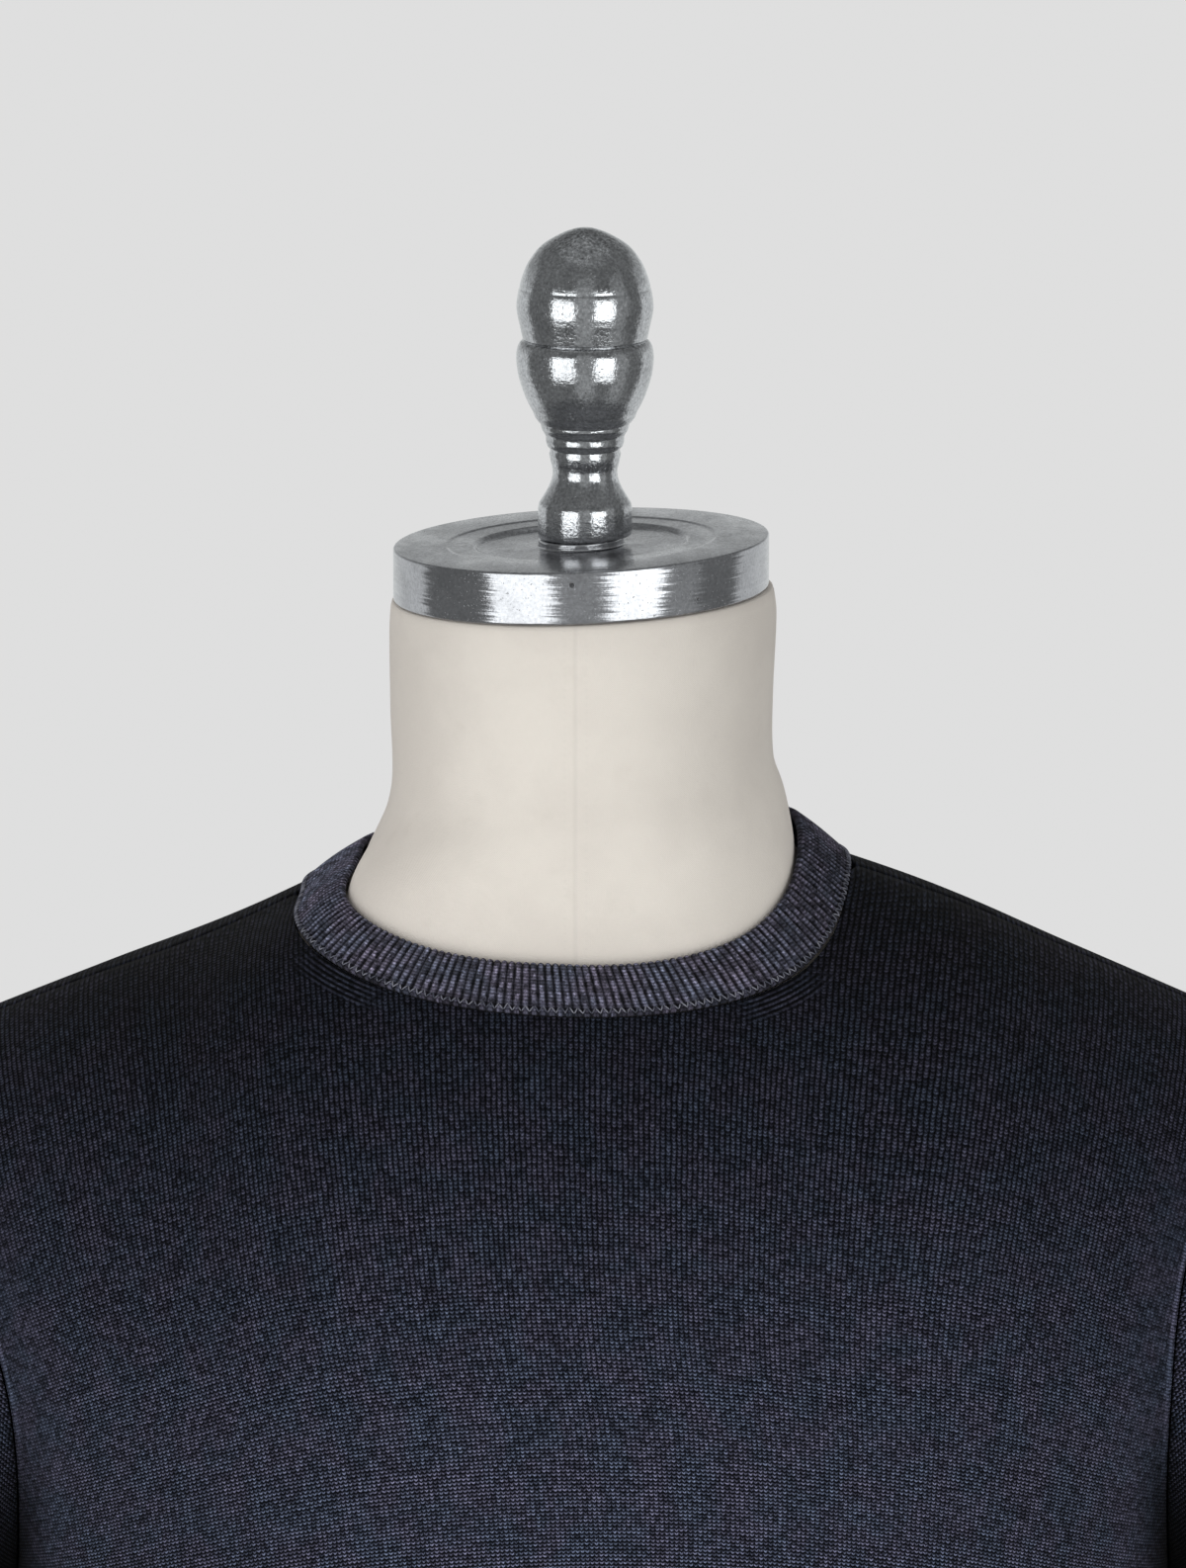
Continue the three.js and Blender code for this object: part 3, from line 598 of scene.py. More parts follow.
def panel(side, folds):
    x, drop = panel_grid(side)
    flat = cloth_point(side, x, drop)
    from_edge = panel_half(drop) - np.abs(x)
    # The cloth is held smooth at its sides, round the shoulders and above the hem rib.
    held = smooth(1.0, 0.9, np.abs(x) / panel_half(drop)) * smooth(60, 130, drop)
    held *= smooth(HEM_SEAM, HEM_SEAM - 14, drop)
    raised = lift(folds, lambda at: x - at, drop) * held
    outer = flat + grid_normals(flat) * raised[..., None]
    inner = outer - grid_normals(outer) * KNIT_WALL
    from_seam, fashioned = neck_marks(side, flat, (drop < 70) & (np.abs(x) < 125))
    marks = {
        "seam_distance": from_seam,
        "fashioned": fashioned,
        # Painted shade in the crease between the panel's side and the sleeve.
        "crease_shade": smooth(14, -5, from_edge) * smooth(150, 220, drop),
        "edge_distance": np.where(drop > 80, from_edge, FAR),
    }
    return wall_object(f"{side}_knit", place(outer), place(inner), stitches(side, x, drop),
                       False, marks)


# ---- ribbed bands
OUTER_ROWS, INNER_ROWS = 13, 5
EDGE_TURNS = np.radians([70, 40, 0, -40, -70])     # the rows of the rounded free edge
RIB_CREST = 0.36              # how far the knit ribs stand out from the band's face
RIB_DEPTH = 0.95              # from there down to the purl furrows
RIB_SCALLOP = 0.55            # how far the free edge dips at a furrow


def ribbed(name, surface, ribs, steps, width, bulge, course_sign=1):
    """A closed band of one by one rib. surface(v) gives the band's outer face at heights v from
    its seam; it is v = width at the free edge. The ribs are weak on the band's inside."""
    round_edge = RIB_WALL / 2
    flat = width - round_edge
    outer_v = np.linspace(GAP, flat, OUTER_ROWS)
    inner_v = np.linspace(flat, GAP, INNER_ROWS)
    v = np.concatenate([outer_v, flat + round_edge * np.cos(EDGE_TURNS), inner_v])
    h = np.concatenate([
        bulge * np.sin(np.pi * outer_v / width),
        round_edge * (np.sin(EDGE_TURNS) - 1),
        np.full(INNER_ROWS, -RIB_WALL),
    ])
    edge_share = 0.9 - 0.12 * np.arange(len(EDGE_TURNS))
    ribbing = np.concatenate([np.ones(OUTER_ROWS), edge_share, np.full(INNER_ROWS, -0.25)])
    phase = np.arange(ribs * steps + 1) / steps
    furrow = 1 - (np.abs(np.cos(np.pi * phase)) ** 0.75)[:, None]
    rise = (RIB_CREST - RIB_DEPTH * furrow) * ribbing * smooth(-0.6, 1.6, v)
    v = v - RIB_SCALLOP * furrow * smooth(flat - 1.5, width, v)
    base = surface(v[:-1])
    up = surface(v[:-1] + 0.5) - surface(v[:-1] - 0.5)
    out = unit(np.cross(steps_round(base), up))
    if (out * (base - base.mean(0, keepdims=True))).sum() < 0:
        out = -out
    grid = base + out * (h + rise[:-1])[..., None]
    rows = shut(v.T).T
    uv = np.stack([np.broadcast_to(phase[:, None], rows.shape), course_sign * rows / COURSE], -1)
    return grid_object(name, place(grid), uv)


# Where round the neck the collar changes: y for front to back, and x for left to right.
LEAN_CHANGES_Y = (-40, RIDGE_Y)
LEAN_CHANGES_X = (-60, 60)
COLLAR_WIDENS_Y = (-40, 30)


def neck_loop(count):
    """The neck seam at equal steps round the neck: points, directions up along the collar, and how
    much wider the collar is there than in front."""
    halves = []
    for side in ("front", "back"):
        x, drop = neck_seam(side, np.linspace(0, 1, 700))
        point = cloth_point(side, x, drop) + body_normal(side, x, drop) * COLLAR_PROUD
        halves.append(np.concatenate([point[::-1] * MIRROR["left"], point[1:]]))
    seam = resample_loop(np.concatenate([halves[0], halves[1][::-1]]), 1600)
    seam = resample_loop(blur_loop(seam, 11), count)
    x, y = seam[:, 0], seam[:, 1]
    inward = unit((COLLAR_AIM - seam) * [1, 1, 0])
    middle = mix(COLLAR_LEAN["front"], COLLAR_LEAN["back"], smooth(*LEAN_CHANGES_Y, y))
    side = mix(COLLAR_LEAN["left"], COLLAR_LEAN["right"], smooth(*LEAN_CHANGES_X, x))
    lean = np.radians(mix(middle, side, np.minimum(np.abs(x) / NECK_HALF, 1)))
    along = inward * np.cos(lean)[:, None]
    along[:, 2] = np.sin(lean)
    wider = COLLAR_WIDTH["back"] / COLLAR_WIDTH["front"]
    return seam, along, mix(1, wider, smooth(*COLLAR_WIDENS_Y, y))


def body_normal(side, x, drop):
    """The cloth's outward normals, taken a little inside the panel's edge."""
    step = 1e-3
    in_x = x * (1 - 1e-5) - np.sign(x) * step
    in_drop = drop + 2 * step

    def rate(dx, ddrop):
        ahead = body_depth(side, in_x + dx / 2, in_drop + ddrop / 2)
        return (ahead - body_depth(side, in_x - dx / 2, in_drop - ddrop / 2)) / step

    return unit(np.stack([-rate(step, 0), np.full(x.shape, SIGN[side]), rate(0, step)], -1))


def collar_out(seam, along):
    """Directions square to the collar, out of its face."""
    out = np.cross(unit(steps_round(seam)), along)
    return out * np.sign(out[:, 2].mean())


def collar():
    seam, _, _ = neck_loop(1600)
    ribs = round(path_lengths(shut(seam))[-1] / RIB_PITCH)
    steps = 8
    seam, along, wider = neck_loop(ribs * steps)

    def surface(v):
        return seam[:, None] + along[:, None] * (v * wider[:, None])[..., None]

    band = ribbed("collar_knit", surface, ribs, steps, COLLAR_WIDTH["front"], 0.7, -1)
    return band, linking(seam, along, ribs, steps)


YARN_RADIUS = 0.22            # of the linking chain


def linking(seam, along, ribs, steps):
    """The chain of linking stitches along the collar's seam: a V for each rib, its legs uneven."""
    out = collar_out(seam, along)
    t = np.linspace(0, 1, 5)
    paths = []
    for k in range(ribs):
        for hand in (-1, 1):
            sway, stretch = rng.normal(0, 0.035, 2)
            column = (k + 0.5 + hand * (0.5 * t + sway)) * steps
            low = np.floor(column).astype(int)
            part = (column - low)[:, None]
            root, up, proud = (
                mix(values[low % len(seam)], values[(low + 1) % len(seam)], part)
                for values in (seam, along, out)
            )
            v = 0.35 + (2.5 + stretch * 6) * t ** 1.25
            h = 0.42 + 0.38 * np.sin(np.pi * t) - 0.15 * t
            paths.append(root + up * v[:, None] + proud * h[:, None])
    return new_mesh("collar_linking", *tubes(place(np.array(paths)), YARN_RADIUS))


def band_loop(drop, count):
    """At equal steps round the body: share of the half-width, and whether it is behind. And the
    girth."""
    share = np.sin(np.linspace(-np.pi / 2, np.pi / 2, 1500))
    half = float(read(CLOTH, "half", drop))
    front = cloth_point("front", share * half, np.full(1500, drop))
    back = cloth_point("back", share[::-1] * half, np.full(1500, drop))
    reach = path_lengths(shut(np.concatenate([front, back[1:-1]])))
    shares = np.concatenate([share, share[::-1][1:-1], share[:1]])
    wanted = np.arange(count) / count * reach[-1]
    return np.interp(wanted, reach, shares), np.searchsorted(reach, wanted) >= 1500, reach[-1]


def hem():
    middle = 650
    _, _, girth = band_loop(middle, 10)
    ribs, steps = round(girth / RIB_PITCH), 6
    share, behind, _ = band_loop(middle, ribs * steps)

    def surface(v):
        drop = HEM_SEAM + v
        x = share[:, None] * read(CLOTH, "half", drop)
        front, back = (cloth_point(side, x, drop) for side in ("front", "back"))
        return np.where(behind[:, None, None], back, front)

    return ribbed("hem_knit", surface, ribs, steps, HEM - HEM_SEAM, 0.3)


# ---- sleeves and cuffs
def armhole_point(turn):
    """The armhole's edge, with turn from 0 at the shoulder down the front to a half and back up."""
    behind = turn > 0.5
    down = np.where(behind, 1 - turn, turn) * 2
    drop = mix(SHOULDER_END, UNDERARM, ease(down))
    x = armhole_half(drop)
    point = np.where(behind[:, None], cloth_point("back", x, drop), cloth_point("front", x, drop))
    ends = (down < 1e-6) | (down > 1 - 1e-6)
    point[ends, 1] = RIDGE_Y
    point[:, 0] += 2 * GAP
    return point


def ring_point(shape, drop, turn):
    """Points round a sleeve or cuff, with turn from 0 at the outside."""
    angle = turn * 2 * np.pi
    low = read(shape, "tilt", drop) * np.cos(angle) if "tilt" in shape else 0
    return np.stack(np.broadcast_arrays(
        read(shape, "x", drop) + read(shape, "half", drop) * np.cos(angle),
        read(shape, "y", drop) - read(shape, "depth", drop) * np.sin(angle),
        low - drop,
    ), -1)


# The drops over which painted shade darkens the crease between sleeve and body.
CREASE_SHADE_DROPS = {"left": (136.0, 247.0), "right": (128.0, 240.0)}


def sleeve_grid(columns=132, head_rows=46, arm_rows=100):
    """Points of the right sleeve [column, row]. The head's rows go over from the armhole's edge to
    the arm's first ring."""
    turn = (np.arange(columns) / columns + 0.5) % 1
    angle = turn * 2 * np.pi
    first = SLEEVE["drop"][0]
    start = armhole_point(turn)
    end = ring_point(SLEEVE, np.full(columns, first), turn)
    reach = np.linalg.norm(end - start, axis=-1, keepdims=True)
    # The cloth leaves the armhole outwards at the shoulder and downwards at the underarm.
    leave = unit(np.stack([
        0.6 + 0.35 * np.cos(angle), -0.45 * np.sin(angle), -(0.62 - 0.25 * np.cos(angle)),
    ], -1)) * reach
    arrive = np.array([0, 0, -1.0]) * reach
    t = (np.arange(head_rows) / head_rows)[None, :, None]
    head = hermite(start[:, None], end[:, None], leave[:, None], arrive[:, None], t)
    drops = np.linspace(first, CUFF_SEAM - GAP, arm_rows + 1)
    arm = ring_point(SLEEVE, drops, turn[:, None])
    return np.concatenate([head, arm], 1), angle, head_rows


def sleeve(hand):
    grid, angle, head_rows = sleeve_grid()
    around, down = path_lengths(shut(grid)), path_lengths(shut(grid), 1)
    around -= around[len(grid) // 2]
    down -= down[:, head_rows, None]
    uv = np.stack([around / SLEEVE_WALE, down / COURSE], -1)

    drop = -grid[..., 2]
    x = around[:-1]
    girth = x[-1] - x[0]
    held = smooth(0, 22, down[:-1] - down[:-1, :1]) * smooth(CUFF_SEAM, CUFF_SEAM - 9, drop)
    outside = smooth(-0.35, 0.25, np.cos(angle))[:, None]
    held *= mix(outside, 1, smooth(330, 400, drop))        # higher up the body is too close
    raised = lift(SLEEVE_FOLDS, lambda at: (x - at + girth / 2) % girth - girth / 2, drop) * held
    outer = grid + grid_normals(grid, True) * raised[..., None]
    inner = outer - grid_normals(outer, True) * KNIT_WALL
    outer, inner = (place(face * MIRROR[hand]) for face in (outer, inner))
    beside = smooth(34, 6, grid[..., 0] - panel_half(drop)) * smooth(700, 560, drop)
    marks = {
        # Painted shade in the crease between the sleeve and the body.
        "crease_shade": beside * smooth(*CREASE_SHADE_DROPS[hand], drop),
        "edge_distance": np.full(drop.shape, FAR),
    }
    return wall_object(f"{hand}_sleeve_knit", outer, inner, uv, True, marks)


def cuff(hand):
    dense = ring_point(CUFF_SHAPE, np.full(720, 630.0), np.arange(720) / 720)
    reach = path_lengths(shut(dense))
    ribs, steps = round(reach[-1] / RIB_PITCH), 6
    wanted = np.arange(ribs * steps) / (ribs * steps) * reach[-1]
    turn = np.interp(wanted, reach, np.arange(721) / 720)

    def surface(v):
        return ring_point(CUFF_SHAPE, CUFF_SEAM + v, turn[:, None]) * MIRROR[hand]

    return ribbed(f"{hand}_cuff_knit", surface, ribs, steps, CUFF - CUFF_SEAM, 0.3)


# ---- dress form
def torso_holds(x, y, drop):
    """Whether points lie inside the form's padded body."""
    inside = np.zeros(x.shape, bool)
    for side in ("front", "back"):
        on_side = (y < RIDGE_Y) == (side == "front")
        depth = body_depth(side, x, drop, FORM, FORM_SEAT)
        inside |= on_side & (np.abs(y - RIDGE_Y) < depth)
    return inside & (np.abs(x) < read(FORM, "half", drop)) & (drop > ridge_drop(x) + FORM_SEAT)


def neck_holds(x, y, drop):
    """Whether points lie inside the form's neck column."""
    centre_x, centre_y, half, depth, power = (
        read(NECK, column, drop) for column in ("x", "y", "half", "depth", "power")
    )
    return np.abs((x - centre_x) / half) ** power + np.abs((y - centre_y) / depth) ** power < 1


def reach_of(holds, way, drops):
    """Distance from the middle line to a body's surface in each direction, found by halving."""
    near, far = np.zeros((len(drops), len(way))), np.full((len(drops), len(way)), 260.0)
    for _ in range(26):
        middle = (near + far) / 2
        held = holds(way[:, 0] * middle, RIDGE_Y + way[:, 1] * middle, drops)
        near, far = np.where(held, middle, near), np.where(held, far, middle)
    return near


def collar_ring(angles):
    """Distance and drop of the inside of the collar's free edge, in each direction from above."""
    seam, along, wider = neck_loop(720)
    ring = seam + along * (COLLAR_WIDTH["front"] * wider)[:, None]
    ring = ring - collar_out(seam, along) * RIB_WALL
    at = np.arctan2(ring[:, 1] - RIDGE_Y, ring[:, 0])
    reach = np.hypot(ring[:, 0], ring[:, 1] - RIDGE_Y)
    return [np.interp(angles, at, values, period=2 * np.pi) for values in (reach, -ring[:, 2])]


NECK_FILLET = 7.0
NECK_BLEND_DROP = 40.0        # the neck column takes no part below this
COLLAR_GAP = 0.5              # between the form and the collar's free edge
COLLAR_SWELL = 15.0           # how far up and down the form swells to meet that edge
# Drops that part the form's rows, and how many rows lie between each two.
FORM_ROWS = ((NECK_TOP, -40, 35), (-40, 60, 79), (60, 245, 37), (245, FORM_FOOT - 4, 50))
# The rows that close the form: share of the end row's width, and how far they rise from it.
FORM_TOP = ((0, 0), (0.7, 0), (0.985, 0), (0.997, -0.4), (1, -1.4))
FORM_UNDERSIDE = ((0.992, -2.8), (0.978, -4), (0.6, -4), (0, -4))


def form(columns=168):
    drops = [np.linspace(top, low, rows, endpoint=False) for top, low, rows in FORM_ROWS[:-1]]
    drops = np.concatenate([*drops, np.linspace(*FORM_ROWS[-1])])[:, None]
    angle = np.arange(columns) * 2 * np.pi / columns
    way = unit(np.stack([2 * np.cos(angle), np.sin(angle)], -1))
    torso, neck = reach_of(torso_holds, way, drops), reach_of(neck_holds, way, drops)
    close = np.maximum(NECK_FILLET - np.abs(torso - neck), 0) / NECK_FILLET
    reach = np.maximum(torso, neck) + close ** 2 * NECK_FILLET / 4
    reach = np.where(drops < NECK_BLEND_DROP, reach, torso)
    ring, ring_drop = collar_ring(np.arctan2(way[:, 1], way[:, 0]))
    there = np.array([np.interp(ring_drop[k], drops[:, 0], reach[:, k]) for k in range(columns)])
    swell = np.maximum(ring - COLLAR_GAP - there, 0)
    reach = reach + swell * np.exp(-((drops - ring_drop) / COLLAR_SWELL) ** 2)
    sides = np.stack([way[:, 0] * reach, RIDGE_Y + way[:, 1] * reach,
                      np.broadcast_to(-drops, reach.shape)], -1)

    def ends(ring, rows):
        """Rows drawn in from an end ring towards its middle."""
        middle = ring.mean(1, keepdims=True)
        return [mix(middle, ring, share) + [0, 0, rise] for share, rise in rows]

    grid = np.concatenate([
        *ends(sides[:1], FORM_TOP), sides[1:], *ends(sides[-1:], FORM_UNDERSIDE),
    ])
    return weld(grid_object("form_canvas", place(grid.transpose(1, 0, 2)), rows_close=False))


# ---- metal parts
# Radius and height of points up the knob's outline.
KNOB = (
    (15.0, 11.2), (11.9, 16.5), (10.6, 21), (11.5, 26), (12.8, 33), (15.2, 38), (19.2, 45.5),
    (21.5, 52), (22.3, 56.5), (22.45, 59.5), (22.15, 62), (21.5, 63.7), (20.8, 64.5),
    (20.35, 64.75), (20.3, 64.95), (20.65, 66.6), (21.25, 69.4), (21.95, 72.6), (22.35, 75.6),
    (22.0, 79.4), (21.35, 82.4), (20.5, 85.5), (18.4, 90.4), (14.3, 95.6), (8.2, 99.4),
    (3.8, 101.1), (1.5, 101.55), (0, 101.6),
)
# Turned details: height on the knob, how far they stand out, and their half-width.
KNOB_TURNING = table(
    "height out width",
    (28.7, -0.95, 0.5),
    (31.2, 0.4, 1.3),
    (35.3, 0.3, 1.0),
    (37.2, -0.4, 0.45),
    (39.6, 0.35, 1.1),
    (64.9, -0.25, 0.35),
    (82.1, -0.12, 0.3),
)


def spline(points, steps):
    """A smooth curve through points, the same number of steps between each two."""
    points = np.array(points, float)
    padded = np.concatenate([points[:1], points, points[-1:]])
    t = np.linspace(0, 1, steps, endpoint=False)[:, None]
    parts = [
        hermite(b, c, (c - a) / 2, (d - b) / 2, t)
        for a, b, c, d in zip(padded, padded[1:], padded[2:], padded[3:])
    ]
    return np.concatenate([*parts, points[-1:]])


def rounded(corners, radius, steps=5):
    """A polyline with its inner corners rounded; the ends stay."""
    corners = np.array(corners, float)
    result = [corners[0]]
    for before, at, after in zip(corners, corners[1:], corners[2:]):
        to_before, to_after = unit(before - at), unit(after - at)
        most = min(np.linalg.norm(before - at), np.linalg.norm(after - at)) / 2.01
        cut = min(radius, most)
        t = np.linspace(0, 1, steps)[:, None]
        start, end = at + to_before * cut, at + to_after * cut
        result.extend(start * (1 - t) ** 2 + at * 2 * t * (1 - t) + end * t * t)
    return np.array([*result, corners[-1]])


CAP_SLOPE = math.tan(math.radians(2.3))
CAP_RADIUS = 61.5
CAP_RIM = 17.2                # height of the cap's rim over its underside
CAP_DISH = 15.4               # height of its dish
# Radius and height of the cap's corners. The knob's foot covers the last three.
CAP_CORNERS = (
    (0, 0), (CAP_RADIUS, 0), (CAP_RADIUS, CAP_RIM), (44.5, CAP_RIM), (43.5, 16.8), (35.2, 16.7),
    (33.6, CAP_DISH), (14, CAP_DISH), (14, 18.1), (0, 18.1),
)
KNOB_FOOT_RADIUS = 15.4
KNOB_FOOT_FADE = 8.0          # the knob's slope is gone at this height
COLUMN_RADIUS = 15
BASE_RADIUS = 150


def knob():
    low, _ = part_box("neck_knob")
    curve = spline(KNOB, 9)
    for height, out, width in zip(*KNOB_TURNING.values()):
        curve[:, 0] += out * np.exp(-((curve[:, 1] - height) / width) ** 2)
    curve[:, 0] = np.maximum(curve[:, 0], 0)
    wall = [(KNOB_FOOT_RADIUS, height) for height in np.linspace(0.7, 8.5, 6)]
    foot = [(0, 0), (14.4, 0), (15.0, 0.15), (15.3, 0.4), *wall, (15.38, 9.4), (15.25, 10.3)]
    foot_height = low.z / MM + KNOB_FOOT_RADIUS * CAP_SLOPE
    return lathe("knob_metal", [*foot, *curve], 128, CAP_SLOPE, KNOB_FOOT_FADE,
                 (KNOB_OFFSET, 0, foot_height))


def cap_height(x=0.0):
    """Height of the cap's underside above the floor, at x."""
    low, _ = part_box("neck_cap")
    return low.z / MM + (CAP_RADIUS + x) * CAP_SLOPE


def cap():
    outline = rounded(CAP_CORNERS, 0.8)
    return lathe("cap_metal", outline, 160, CAP_SLOPE, centre=(0, 0, cap_height()))


def stand():
    low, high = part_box("stand_column")
    top = (high.z - low.z) / MM
    outline = [(0, 0), (COLUMN_RADIUS, 0), (COLUMN_RADIUS, top), (0, top)]
    column = lathe("column_metal", rounded(outline, 0.6), 96, centre=(0, 0, low.z / MM))
    low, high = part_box("stand_base")
    top = (high.z - low.z) / MM
    outline = [(0, 0), (BASE_RADIUS - 2, 0), (BASE_RADIUS, 2), (BASE_RADIUS, top - 6),
               (BASE_RADIUS - 6, top), (60, top), (0, top)]
    return column, lathe("base_metal", rounded(outline, 3), 160, centre=(0, 0, low.z / MM))


# ---- materials
TURN = 2 * math.pi


class Wire:
    """A number or colour inside a node tree, combined with ordinary arithmetic."""

    def __init__(self, net, socket):
        self.net, self.socket = net, socket

    def apply(self, operation, *others):
        return self.net.add("Math", self, *others, operation=operation)

    __add__ = __radd__ = partialmethod(apply, "ADD")
    __sub__ = partialmethod(apply, "SUBTRACT")
    __mul__ = __rmul__ = partialmethod(apply, "MULTIPLY")
    __truediv__ = partialmethod(apply, "DIVIDE")
    __pow__ = partialmethod(apply, "POWER")
    __abs__ = partialmethod(apply, "ABSOLUTE")
    root = partialmethod(apply, "SQRT")
    floor = partialmethod(apply, "FLOOR")
    cosine = partialmethod(apply, "COSINE")

    def __rsub__(self, other):
        return self.net.add("Math", other, self, operation="SUBTRACT")

    def between(self, low, high, first=0.0, last=1.0):
        """A soft step, from the first value at low to the last value at high."""
        return self.net.add("MapRange", self, low, high, first, last,
                            interpolation_type="SMOOTHSTEP")

    def falls(self, low, high, last=0.0):
        """A soft step down from 1."""
        return self.between(low, high, 1.0, last)


class Net:
    """The nodes of a material or of the world."""

    def __init__(self, tree):
        self.tree = tree

    def add(self, kind, *inputs, output=0, named=None, **settings):
        node = self.tree.nodes.new("ShaderNode" + kind)
        for key, value in settings.items():
            setattr(node, key, value)
        for socket, value in zip(node.inputs, inputs):
            self.feed(socket, value)
        for key, value in (named or {}).items():
            self.feed(node.inputs[key], value)
        return Wire(self, node.outputs[output])

    def feed(self, socket, value):
        if isinstance(value, Wire):
            self.tree.links.new(value.socket, socket)
        elif value is not None:
            socket.default_value = value

    def split(self, vector):
        return [self.add("SeparateXYZ", vector, output=k) for k in range(3)]

    def join(self, x, y, z=0.0):
        return self.add("CombineXYZ", x, y, z)

    def grey(self, value):
        return self.add("CombineColor", value, value, value)

    def noise(self, at, scale=1.0, detail=2.0, roughness=0.5):
        """Soft noise at a place, or at two or three numbers."""
        vector = self.join(*at) if isinstance(at, tuple) else at
        return self.add("TexNoise", named={"Vector": vector, "Scale": scale, "Detail": detail,
                                           "Roughness": roughness})

    def speck(self, *at):
        """A random number for each whole place, such as for each stitch."""
        return self.add("TexWhiteNoise", self.join(*at))

    def blend(self, share, first, second):
        pair = [(*tone, 1) if isinstance(tone, tuple) else tone for tone in (first, second)]
        return self.add("MixRGB", share, *pair)


class Paint(Net):
    """A material. Settings that are the same all over go on the shader itself."""

    def __init__(self, name, colour, **constants):
        self.material = bpy.data.materials.new(name)
        self.material.use_nodes = True
        self.material.diffuse_color = (*colour, 1)
        super().__init__(self.material.node_tree)
        self.shader = self.tree.nodes["Principled BSDF"]
        for socket, value in constants.items():
            self.shader.inputs[socket.replace("_", " ")].default_value = value

    def drive(self, socket, value):
        self.feed(self.shader.inputs[socket], value)

    def shade(self, colour, factor):
        """Takes a colour made darker or lighter by a number."""
        self.drive("Base Color", self.add("MixRGB", 1.0, colour, self.grey(factor),
                                          blend_type="MULTIPLY"))

    def bump(self, height, distance, strength=1.0, normal=None):
        self.drive("Normal", self.add("Bump", output="Normal", named={
            "Height": height, "Distance": distance, "Strength": strength, "Normal": normal}))

    def place(self):
        return self.add("TexCoord", output="Object")


def triangle(wire):
    """How far a number is from the nearest whole one: 0 to a half."""
    return 0.5 - abs(wire.apply("FRACT") - 0.5)


def wave(turns):
    """Minus a half to a half, with its crest at each whole number."""
    return (turns * TURN).cosine() * 0.5


def heather(net, u, v, dark, warm, cool):
    """Yarn of mixed fibres: patches of faint tint, and streaks along each stitch."""
    patch = net.noise((u * 0.11, v * 0.075), 1.0, 3.0, 0.6)
    streak = net.noise((u * 2.1, v * 0.8, 4.0), 1.0, 3.0, 0.7)
    tone = net.blend(patch.between(0.36, 0.64), warm, cool)
    return net.blend(streak.between(0.3, 0.6), dark, tone), streak


def stitch_height(u, v, gauge=1.0, crown=1.15, deep=0.52, filled=0.0):
    """Height of plain stitches, 0 to 1: a column of Vs centred on each whole u, one for each v.
    deep is how far the gap between two courses goes down, and filled how far up the gap between
    two columns is."""
    away = triangle(u) * gauge
    hump = (away * math.pi).cosine().apply("MAXIMUM", 0.0) ** crown
    leg = wave(v + away * 0.9) + 0.5
    seam_line = (away * 9.0).apply("MINIMUM", 1.0) * 0.16 + 0.84
    hump = hump * (1.0 - filled) + filled
    return hump * (leg * deep + (1.0 - deep)) * seam_line


# Tones of the yarn: between the fibres, and of its warm and its cool patches.
KNIT_TONES = (0.018, 0.021, 0.034), (0.078, 0.077, 0.118), (0.061, 0.075, 0.114)
RIB_TONES = (0.042, 0.041, 0.063), (0.2, 0.182, 0.257), (0.15, 0.168, 0.238)
# Where the plain knit changes, in metres: heights above the floor, and places across.
# DARK_Z, LEFT_SHOULDER_Z and the places across bound painted shade on sides and shoulders.
# Above CHEST_Z the knit is also painted darker, as shade.
CHEST_Z = (0.7, 0.86)              # single stitches show below, and lines of wales above
BEADS_FROM_Z, BEADS_TO_Z = (0.66, 0.76), (0.8, 0.83)
DARK_Z, LEFT_SHOULDER_Z = (0.83, 0.89), (0.82, 0.86)
DARK_LEFT_X, DARK_RIGHT_X, LEFT_SHOULDER_X = (-0.14, -0.03), (0.05, 0.17), (-0.16, -0.08)


